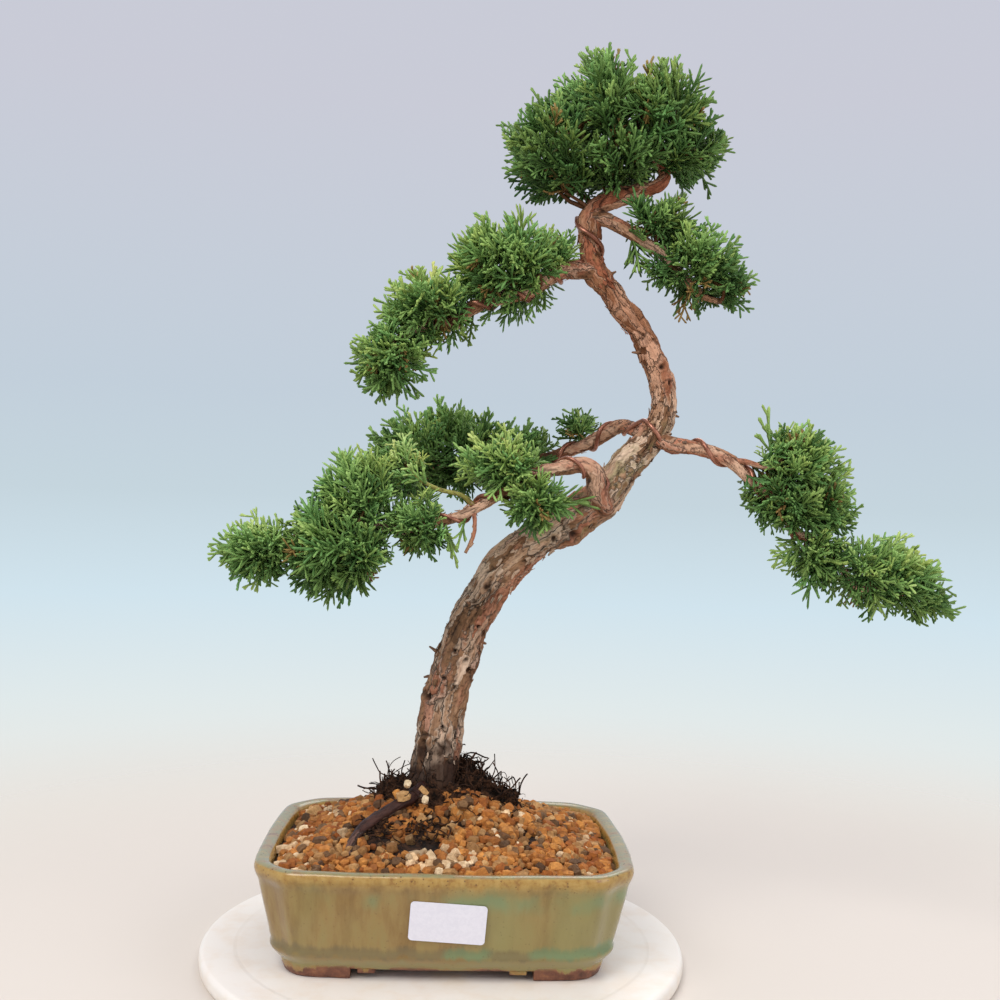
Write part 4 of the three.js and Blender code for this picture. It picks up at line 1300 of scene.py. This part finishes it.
def makeRootMat():
    draw = random.Random(matSet["seed"])
    heap = Heap()
    deselectAll()
    bpy.ops.mesh.primitive_ico_sphere_add(subdivisions=6, radius=1)
    shape, faces = takeMesh(bpy.context.object)
    starts = []
    for x, y, z, halfWidth, halfDepth, halfHeight in matSet["lumps"]:
        points = shape * (halfWidth, halfDepth, halfHeight) + (x, y, z)
        rough = [noise.fractal(Vector(p) * 0.13, 0.5, 2.1, 6) for p in points]
        points = points + shape * (np.array(rough) * 3.6)[:, None]
        heap.add(points, faces)
        starts.append(points[points[:, 2] > -12])
    starts = np.concatenate(starts)
    for k in range(matSet["fibres"]):  # fine roots start on the lumps and wander
        start = starts[draw.randrange(len(starts))]
        away = unit(start - (5, 0, -14))
        length = draw.uniform(3, 9) if k > 30 else draw.uniform(8, 15)
        radius = draw.uniform(0.16, 0.42)
        way = away * 0.6 + shaken(draw, 0.6)
        points = [start - away * 1.5]
        for bend in range(6):
            way = unit(way) + shaken(draw, 0.45)
            way[2] -= 0.14
            points.append(points[-1] + unit(way) * length / 6)
        tube(heap, points, np.linspace(radius, radius * 0.5, 7), 4)
    for k in range(matSet["strands"]):  # some hug the lumps
        start = starts[draw.randrange(len(starts))]
        away = unit(start - (5, 0, -14))
        way = np.cross(away, shaken(draw, 1))
        points = [start]
        for bend in range(9):
            way = unit(way) + shaken(draw, 0.4)
            points.append(points[-1] + unit(way) * 2.1 - away * 0.12)
        tube(heap, smoothed(np.array(points) + away * 0.5), draw.uniform(0.2, 0.5), 4)
    for k in range(matSet["looseRoots"]):  # and lie over the grains beside the thick root
        x, y, spread = draw.choice(((-20, -36, 8), (-26, -46, 7), (-8, -44, 8), (2, -42, 6), (-34, -40, 5)))
        x, y = x + draw.gauss(0, spread * 0.6), y + draw.gauss(0, spread * 0.5)
        way = np.array((draw.gauss(0, 1), draw.gauss(0, 1)))
        points = []
        for bend in range(8):
            way = unit(way) + (draw.gauss(0, 0.5), draw.gauss(0, 0.5))
            x, y = x + way[0] * 1.2, y + way[1] * 1.2
            up = soilHeight(trunkX + x, trunkY + y) - moundTop
            points.append((x, y, up + 1.2 + 1.2 * draw.random()))
        tube(heap, smoothed(points), draw.uniform(0.25, 0.55), 4)
    return heap.build("rootMat")


def makeFibreFinish():
    material, tree = newMaterial("rootFibre")
    where = places(tree)
    colour, value = mottle(tree, where, 320.0, tone(22, 16, 12), tone(96, 66, 48))
    crumbs = cloud(tree, where, 1100.0, 4.0, 0.7)
    height = value + crumbs
    finishWith(tree, Base_Color=colour, Roughness=0.95, Specular_IOR_Level=0.2,
               Normal=bump(tree, height, 0.0016))
    return material


rootMat = makeRootMat()
settle(rootMat, makeFibreFinish(), "root_fibre", "root_mat")
print("root mat made:", len(rootMat.data.polygons), "faces")


# --- foliage: sprays of fine shoots on twiglets that leave the limbs

leafSet = {
    "seed": 3,
    "gap": 11.4,  # between neighbouring clusters on a pad's surface
    "sprays": 3,  # in each cluster
    "depth": 19,  # how far below the pad's surface a cluster starts
    "past": 2,  # how far its tips pass the surface
    "sprayLength": 29, "shootRadius": 0.92, "dryShare": 0.012,
    "deep": tone(50, 76, 38), "dark": tone(80, 112, 58), "mid": tone(118, 154, 84),
    "bright": tone(160, 192, 108),
    "tip": tone(192, 212, 136), "dry": tone(156, 110, 66), "twig": tone(116, 74, 48),
    # pads that are split into this many pieces
    "split": {"foliage_crown": 4, "foliage_mid_left_inner": 2, "foliage_rear_left": 2,
              "foliage_right_upper": 2,
              "foliage_low_left_mid": 2},
    # share of sprays with straight, even fingers
    "combs": {"foliage_low_left_mid": 0.55, "foliage_low_left_inner": 0.5, "foliage_mid_left_inner": 0.35,
              "foliage_front_tuft_lower": 0.4, "foliage_upper_right_inner": 0.6, "foliage_low_left_tip": 0.2},
    # how much the shoots follow their branch outwards; how bright the pad is, as painted light and shade on
    # most pads and the pad's own tone on the green tuft
    "grow": {"foliage_crown": 0.1, "foliage_low_left_mid": 0.6, "foliage_low_left_tip": 0.8,
             "foliage_right_outer": 0.8, "foliage_right_lower": 0.6, "foliage_mid_left_tip": 0.5},
    "light": {"foliage_crown": -0.02, "foliage_green_tuft": 0.9, "foliage_rear_left": -0.02,
              "foliage_rear_sprig": 0.35, "foliage_low_left_tip": 0.4, "foliage_front_tuft_upper": 0.45,
              "foliage_upper_right_outer": 0.02, "foliage_upper_right_inner": 0.02},
    "hue": {"foliage_green_tuft": 0.45, "foliage_crown": 0.1},
    # long single sprays off a limb: pad, limb, how far along it, way, size
    "sprigs": (("foliage_right_upper", "twig_right", 0.75, (-0.28, -0.1, 1), 1.15),
               ("foliage_right_upper", "branch_right", 0.62, (-0.8, -0.3, -0.5), 0.95),
               ("foliage_low_left_tip", "branch_low_left", 0.98, (-0.5, -0.2, -0.9), 0.85),
               ("foliage_low_left_inner", "branch_low_left", 0.5, (-0.3, -0.6, -1), 0.8),
               ("foliage_low_left_inner", "branch_low_left", 0.56, (0.2, -0.5, -1), 0.9),
               ("foliage_crown", "trunk", 0.97, (-0.3, -0.3, 1), 1.2),
               ("foliage_upper_right_inner", "branch_upper_right", 0.3, (0.3, -0.4, -1), 0.9)),
    "shrink": {"foliage_right_upper": 0.82, "foliage_low_left_tip": 0.94},
}


# One straight finger: two rings and a point
def addFinger(heap, start, way, length, radius, low, high, sides=3):
    way = unit(np.asarray(way, float))
    normal = unit(np.cross(way, (0.21, 0.93, 0.3)))
    other = np.cross(way, normal)
    points = []
    for share, width in ((0, 0.8), (0.86, 1.0)):
        for a in np.arange(sides) / sides * turn:
            out = normal * math.cos(a) + other * math.sin(a)
            points.append(start + way * length * share + out * radius * width)
    points.append(start + way * length)
    k = np.arange(sides)
    walls = np.stack([k, (k + 1) % sides, (k + 1) % sides + sides, k + sides], 1)
    cap = np.stack([k + sides, (k + 1) % sides + sides, np.full(sides, 2 * sides), np.full(sides, -1)], 1)
    tipness = np.concatenate([np.full(sides, low), np.full(sides, low + (high - low) * 0.8), [high]])
    heap.add(points, np.concatenate([walls, cap]), tipness=tipness)


# A spray on +Z that branches to both sides in about one plane, like a small antler
def antlerSpray(draw):
    heap = Heap()
    length, radius = leafSet["sprayLength"], leafSet["shootRadius"]
    lean = draw.uniform(-0.22, 0.22)
    cup = draw.uniform(-0.12, 0.2)

    def axisAt(t):
        return np.array((lean * length * t * t, cup * length * t * t, length * t))

    stops = (0, 0.36, 0.7, 1)
    for low, high in zip(stops, stops[1:]):
        way = axisAt(high) - axisAt(low)
        addFinger(heap, axisAt(low) - way * 0.05, way, np.linalg.norm(way) * (1.15 if high < 1 else 1),
                  radius,
                  low * 0.8, high)
    side = draw.choice((-1, 1))
    for t in (0.1, 0.24, 0.38, 0.52, 0.66, 0.8):
        side = -side
        spread = math.radians(draw.uniform(22, 40))
        reach = length * draw.uniform(0.46, 0.64) * (1.02 - 0.64 * t)
        out = np.array((side * math.sin(spread), draw.gauss(0, 0.16), math.cos(spread)))
        addFinger(heap, axisAt(t), out, reach, radius * 0.95, t * 0.7, 0.62 + 0.36 * t)
        forks = (0.42, 0.66) if reach > 13 else (0.5,) if reach > 8.5 else ()
        for k, share in enumerate(forks):
            sway = side * (-0.55 if k == 0 else 0.75)
            twist = out + (sway * math.cos(spread) * 0.8, draw.gauss(0, 0.2), 0.1)
            addFinger(heap, axisAt(t) + out * reach * share, twist, reach * (0.42 - 0.08 * k), radius * 0.9,
                      t * 0.7 + 0.2, 0.66 + 0.3 * t)
    return heap.gathered()


# Straight even fingers all round a thin stalk, like a bottle brush
def combSpray(draw):
    heap = Heap()
    length, radius = leafSet["sprayLength"], leafSet["shootRadius"]
    addFinger(heap, np.zeros(3), (0, 0, 1), length, radius, 0, 0.75)
    for k in range(11):
        t = 0.04 + 0.065 * k
        around = 2.4 * k + draw.uniform(-0.3, 0.3)
        spread = math.radians(draw.uniform(24, 40))
        out = (math.sin(spread) * math.cos(around), math.sin(spread) * math.sin(around), math.cos(spread))
        addFinger(heap, np.array((0, 0, length * t)), out,
                  length * draw.uniform(0.5, 0.66) * (1.08 - 0.5 * t),
                  radius * 0.88, t * 0.5, 0.72)
    return heap.gathered()


# Nearest places on the limbs that carry foliage
def limbSpots():
    spots, radii, ways = [], [], []
    for name in limbLines:
        if name not in ("surface_root", "twig_dead"):
            spots.extend(limbs[name].places)
            radii.extend(limbs[name].radii)
            ways.extend(limbs[name].along)
    tree = KDTree(len(spots))
    for i, spot in enumerate(spots):
        tree.insert(spot, i)
    tree.balance()
    return tree, radii, ways


# Points on a pad's CAD surface, in mm from the trunk's foot, no closer than the gap, away from the tunnels
def clusterSeats(nodeName, draw):
    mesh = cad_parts[nodeName].data
    mesh.calc_loop_triangles()
    corners = (np.array([v.co for v in mesh.vertices]) - np.array(trunkFoot)) / mm
    triangles = corners[np.array([t.vertices for t in mesh.loop_triangles])]
    normals = np.cross(triangles[:, 1] - triangles[:, 0], triangles[:, 2] - triangles[:, 0])
    areas = np.linalg.norm(normals, axis=1)
    normals /= areas[:, None] + 1e-12
    wanted = int(areas.sum() / 2 / leafSet["gap"] ** 2 * 14)
    tree, radii, ways = limbPlaces
    seats = []
    for pick in draw.choices(range(len(triangles)), weights=areas, k=wanted):
        a, b = sorted((draw.random(), draw.random()))
        spot = triangles[pick][0] * a + triangles[pick][1] * (b - a) + triangles[pick][2] * (1 - b)
        near, index, distance = tree.find(spot)
        if distance < radii[index] + 7:
            continue
        if all(np.linalg.norm(spot - seat["spot"]) > leafSet["gap"] for seat in seats):
            seats.append({"spot": spot, "normal": normals[pick], "root": np.array(near), "way": ways[index]})
    return seats


# Gathers seats round hubs, so that one side branch feeds several of them
def addHubs(heap, seats, draw):
    spots = np.array([seat["spot"] for seat in seats])
    count = max(1, round(len(seats) / 9))
    hubs = spots[draw.sample(range(len(seats)), count)]
    for k in range(5):
        owner = np.argmin(np.linalg.norm(spots[:, None] - hubs[None], axis=2), axis=1)
        hubs = np.array([spots[owner == i].mean(0) if (owner == i).any() else hubs[i] for i in range(count)])
    for i, hub in enumerate(hubs):
        mine = [seat for seat, own in zip(seats, owner) if own == i]
        if not mine:
            continue
        near, index, distance = limbPlaces[0].find(hub)
        root = np.array(near)
        inner = root + (hub - root) * 0.6
        sway = shaken(draw, 0.07) * distance
        bough = [root + (inner - root) * t + sway * math.sin(math.pi * t) for t in np.linspace(0, 1, 6)]
        brown = np.tile(np.array(leafSet["twig"]) * draw.uniform(0.55, 0.9), (6 * 5 + 2, 1))
        tube(heap, bough, (1.7, 1.5, 1.3, 1.1, 1.0, 0.8), 5, shootColour=brown)
        for seat in mine:
            seat["hub"] = inner


# Colours of shoots: lighter at the tips, with painted shade inside and below and painted light on top
def shootColours(tipness, light, hue):
    stops = np.array([leafSet[key] for key in ("deep", "dark", "mid", "bright", "tip")])
    level = np.clip(tipness * (1.5 + 0.9 * light) + 1.1 * light + 0.62, 0, 4)
    low = np.minimum(level.astype(int), 3)
    colour = stops[low] + (stops[low + 1] - stops[low]) * (level - low)[:, None]
    colour[:, 0] *= 1 + 0.25 * max(hue, -0.7)
    colour[:, 2] *= 1 - 0.15 * max(hue, -0.7)
    return colour


def addSpray(heap, shape, base, way, roll, scale, light, hue, dry):
    points, faces, marks = shape
    facing = np.array(Vector(way).normalized().to_track_quat("Z", "Y").to_matrix() @ Matrix.Rotation(roll,
                                                                                                     3, "Z"))
    tipness = marks["tipness"]
    colour = shootColours(tipness, light, hue)
    if dry:
        colour = colour * 0.25 + np.array(leafSet["dry"]) * 0.75 * (0.6 + 0.5 * tipness)[:, None]
    stretch = np.array((1, 1, scale)) * (0.5 + 0.5 * scale, 0.5 + 0.5 * scale, 1)
    heap.add(points * stretch @ facing.T + base, faces, shootColour=colour)


def makePad(nodeName, antlers, combs):
    draw = random.Random(leafSet["seed"] * 100 + sum(map(ord, nodeName)))
    seats = clusterSeats(nodeName, draw)
    core = np.mean([seat["spot"] for seat in seats], axis=0)
    for seat in seats:
        seat["spot"] = core + (seat["spot"] - core) * leafSet["shrink"].get(nodeName, 1)
    heights = [seat["spot"][2] for seat in seats]
    low, high = min(heights), max(heights)
    combShare = leafSet["combs"].get(nodeName, 0.1)
    grow = leafSet["grow"].get(nodeName, 0.4)
    padShadeAndTone = leafSet["light"].get(nodeName, 0.3)
    padHue = leafSet["hue"].get(nodeName, 0.1)
    core[2] -= 0.35 * (high - low)
    parts = leafSet["split"].get(nodeName, 1)
    seats.sort(key=lambda seat: seat["spot"][0])
    shareOf = math.ceil(len(seats) / parts)
    for part in range(parts):
        heap = Heap()
        mine = seats[part * shareOf:(part + 1) * shareOf]
        addHubs(heap, mine, draw)
        for seat in mine:
            spot, root = seat["spot"], seat["root"]
            reach = np.linalg.norm(spot - root)
            outward = (spot - root) / (reach + 1e-6)
            spread = (spot - core) / (np.linalg.norm(spot - core) + 1e-6)
            facing = unit(seat["normal"] * 0.45 + outward * 0.4 + spread * 0.45)
            depth = min(leafSet["depth"] * draw.uniform(0.85, 1.15), reach * 0.8)
            height = (spot[2] - low) / max(1.0, high - low)
            lead = unit(facing + seat["way"] * grow + (0, 0, 0.28))
            base = spot - (facing * 0.6 + lead * 0.4) * depth
            hub = seat["hub"]
            twiglet = [hub + (base - hub) * t + facing * 0.12 * reach * (t * t - t) for t in (0, 0.35, 0.7,
                                                                                              1)]
            stalk = np.linspace(0, 1, 4).repeat(4)[:, None]
            brown = np.array(leafSet["twig"]) * draw.uniform(0.6, 1.0)
            stalk = brown * (1 - stalk * 0.6) + np.array(leafSet["dark"]) * stalk * 0.6
            tube(heap, twiglet, (0.9, 0.75, 0.65, 0.6), 4,
                 shootColour=np.concatenate([stalk, stalk[[0, -1]]]))
            count = leafSet["sprays"] + draw.choice((0, 1))
            for k in range(count):
                way = lead + shaken(draw, 0.34)
                # painted light and shade: brighter high in the pad and where the cluster faces up, with
                # random tone and the pad's level
                light = 0.6 * height - 0.36 + draw.gauss(0, 0.2) + 0.16 * facing[2] + padShadeAndTone
                shape = draw.choice(combs if draw.random() < combShare else antlers)
                scale = (depth + leafSet["past"]) / leafSet["sprayLength"] * draw.choice((0.78, 0.9, 1, 1.1,
                                                                                          1.18))
                start = base + shaken(draw, 1.3)
                addSpray(heap, shape, start, way, draw.uniform(0, turn), scale, light,
                         draw.gauss(padHue, 0.4),
                         draw.random() < leafSet["dryShare"])
            # a spray from the hub fills the pad's inside, darkened with painted shade
            way = shaken(draw, 0.7) + outward + seat["way"] * grow
            start = hub + (base - hub) * draw.uniform(0.1, 0.7)
            addSpray(heap, draw.choice(antlers), start, way, draw.uniform(0, turn), draw.uniform(0.45, 0.62),
                     -0.45 + draw.gauss(0, 0.1) + padShadeAndTone * 0.5, -0.2, draw.random() < 0.08)
        if part == 0:
            addLimbSprays(heap, seats, antlers + combs, draw, grow, padShadeAndTone)
            for pad, limbName, share, way, scale in leafSet["sprigs"]:
                if pad == nodeName:
                    limb = limbs[limbName]
                    place = limb.places[int(share * (len(limb.places) - 1))]
                    addSpray(heap, draw.choice(antlers), place, way, draw.uniform(0, turn), scale,
                             0.2 + padShadeAndTone, 0.3, False)
        piece = heap.build((nodeName if parts == 1 else f"{nodeName}_{part + 1}") + "_sprays")
        settle(piece, leafFinish, "foliage", nodeName)
        print(piece.name, len(piece.data.polygons), "faces")


# Short sprays straight from the branches where they run through or along a pad
def addLimbSprays(heap, seats, shapes, draw, grow, padShadeAndTone):
    spots = np.array([seat["spot"] for seat in seats])
    low, high = spots.min(0) - 2, spots.max(0) + 2
    for name in limbLines:
        if name in ("surface_root", "twig_dead", "trunk"):
            continue
        limb = limbs[name]
        for i in range(8, len(limb.places), 6):
            place = limb.places[i]
            if (place < low).any() or (place > high).any() or limb.radii[i] > 3.9:
                continue
            for k in range(2):
                angle = draw.uniform(0, turn)
                out = limb.outward(i, angle)
                way = out + limb.along[i] * (0.5 + grow) + (0, 0, 0.15)
                # painted shade close to the branch, painted light where the spray faces up
                addSpray(heap, draw.choice(shapes), place + out * limb.radii[i] * 0.8, way,
                         draw.uniform(0, turn),
                         draw.uniform(0.42, 0.72), 0.1 * out[2] - 0.22 + draw.gauss(0, 0.12) + padShadeAndTone,
                         draw.gauss(0.1, 0.4), draw.random() < 0.05)


def makeLeafFinish():
    material, tree = newMaterial("juniperShoots")
    where = places(tree)
    shade = mottle(tree, where, 260.0, tone(222, 226, 214), tone(255, 255, 255))[0]
    colour = blend(tree, 1.0, mark(tree, "shootColour", "Color"), shade, "MULTIPLY")
    scales = addNode(tree, "ShaderNodeTexVoronoi", {"Vector": where, "Scale": 1100.0}).outputs["Distance"]
    finishWith(tree, Base_Color=colour, Roughness=0.55, Specular_IOR_Level=0.25,
               Normal=bump(tree, scales, 0.0003, 0.6))
    return material


leafFinish = makeLeafFinish()
limbPlaces = limbSpots()
sprayDraw = random.Random(leafSet["seed"])
antlers = [antlerSpray(sprayDraw) for k in range(10)]
combs = [combSpray(sprayDraw) for k in range(4)]
for nodeName in sorted(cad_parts):
    if nodeName.startswith("foliage_"):
        makePad(nodeName, antlers, combs)
print("foliage made")


# --- blank label on the front of the pot

labelSet = {"width": 38, "height": 21, "radius": 2, "tilt": 0.055}


def makeLabel():
    low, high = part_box("label")
    middle = (low + high) / 2
    lean = math.asin((high.y - low.y) / math.hypot(high.y - low.y, high.z - low.z))
    bpy.ops.mesh.primitive_plane_add(size=1, location=(0, 0, 0))
    label = bpy.context.object
    label.name = "blankLabel"
    label.scale = (labelSet["width"] * mm, labelSet["height"] * mm, 1)
    bpy.ops.object.transform_apply(location=False, rotation=False, scale=True)
    bpy.ops.object.mode_set(mode="EDIT")
    bpy.ops.mesh.select_all(action="SELECT")
    bpy.ops.mesh.bevel(offset=labelSet["radius"] * mm, segments=6, affect="VERTICES")
    bpy.ops.object.mode_set(mode="OBJECT")
    thick = label.modifiers.new("paper", "SOLIDIFY")
    thick.thickness = 0.22 * mm
    applyModifiers(label)
    label.rotation_euler = (math.pi / 2 + lean * 0.9, 0, 0)
    bpy.ops.object.transform_apply(location=False, rotation=True, scale=False)
    label.rotation_euler = (0, labelSet["tilt"], 0)
    label.location = (middle.x, low.y + 0.0012, middle.z)
    bpy.ops.object.transform_apply(location=True, rotation=True, scale=False)
    material, tree = newMaterial("labelPaper")
    colour, value = mottle(tree, places(tree), 500.0, tone(222, 219, 228), tone(228, 225, 233))
    finishWith(tree, Base_Color=colour, Roughness=0.45, Normal=bump(tree, value, 0.00005, 0.3))
    settle(label, material, "label_paper", "label")


makeLabel()
print("label made")
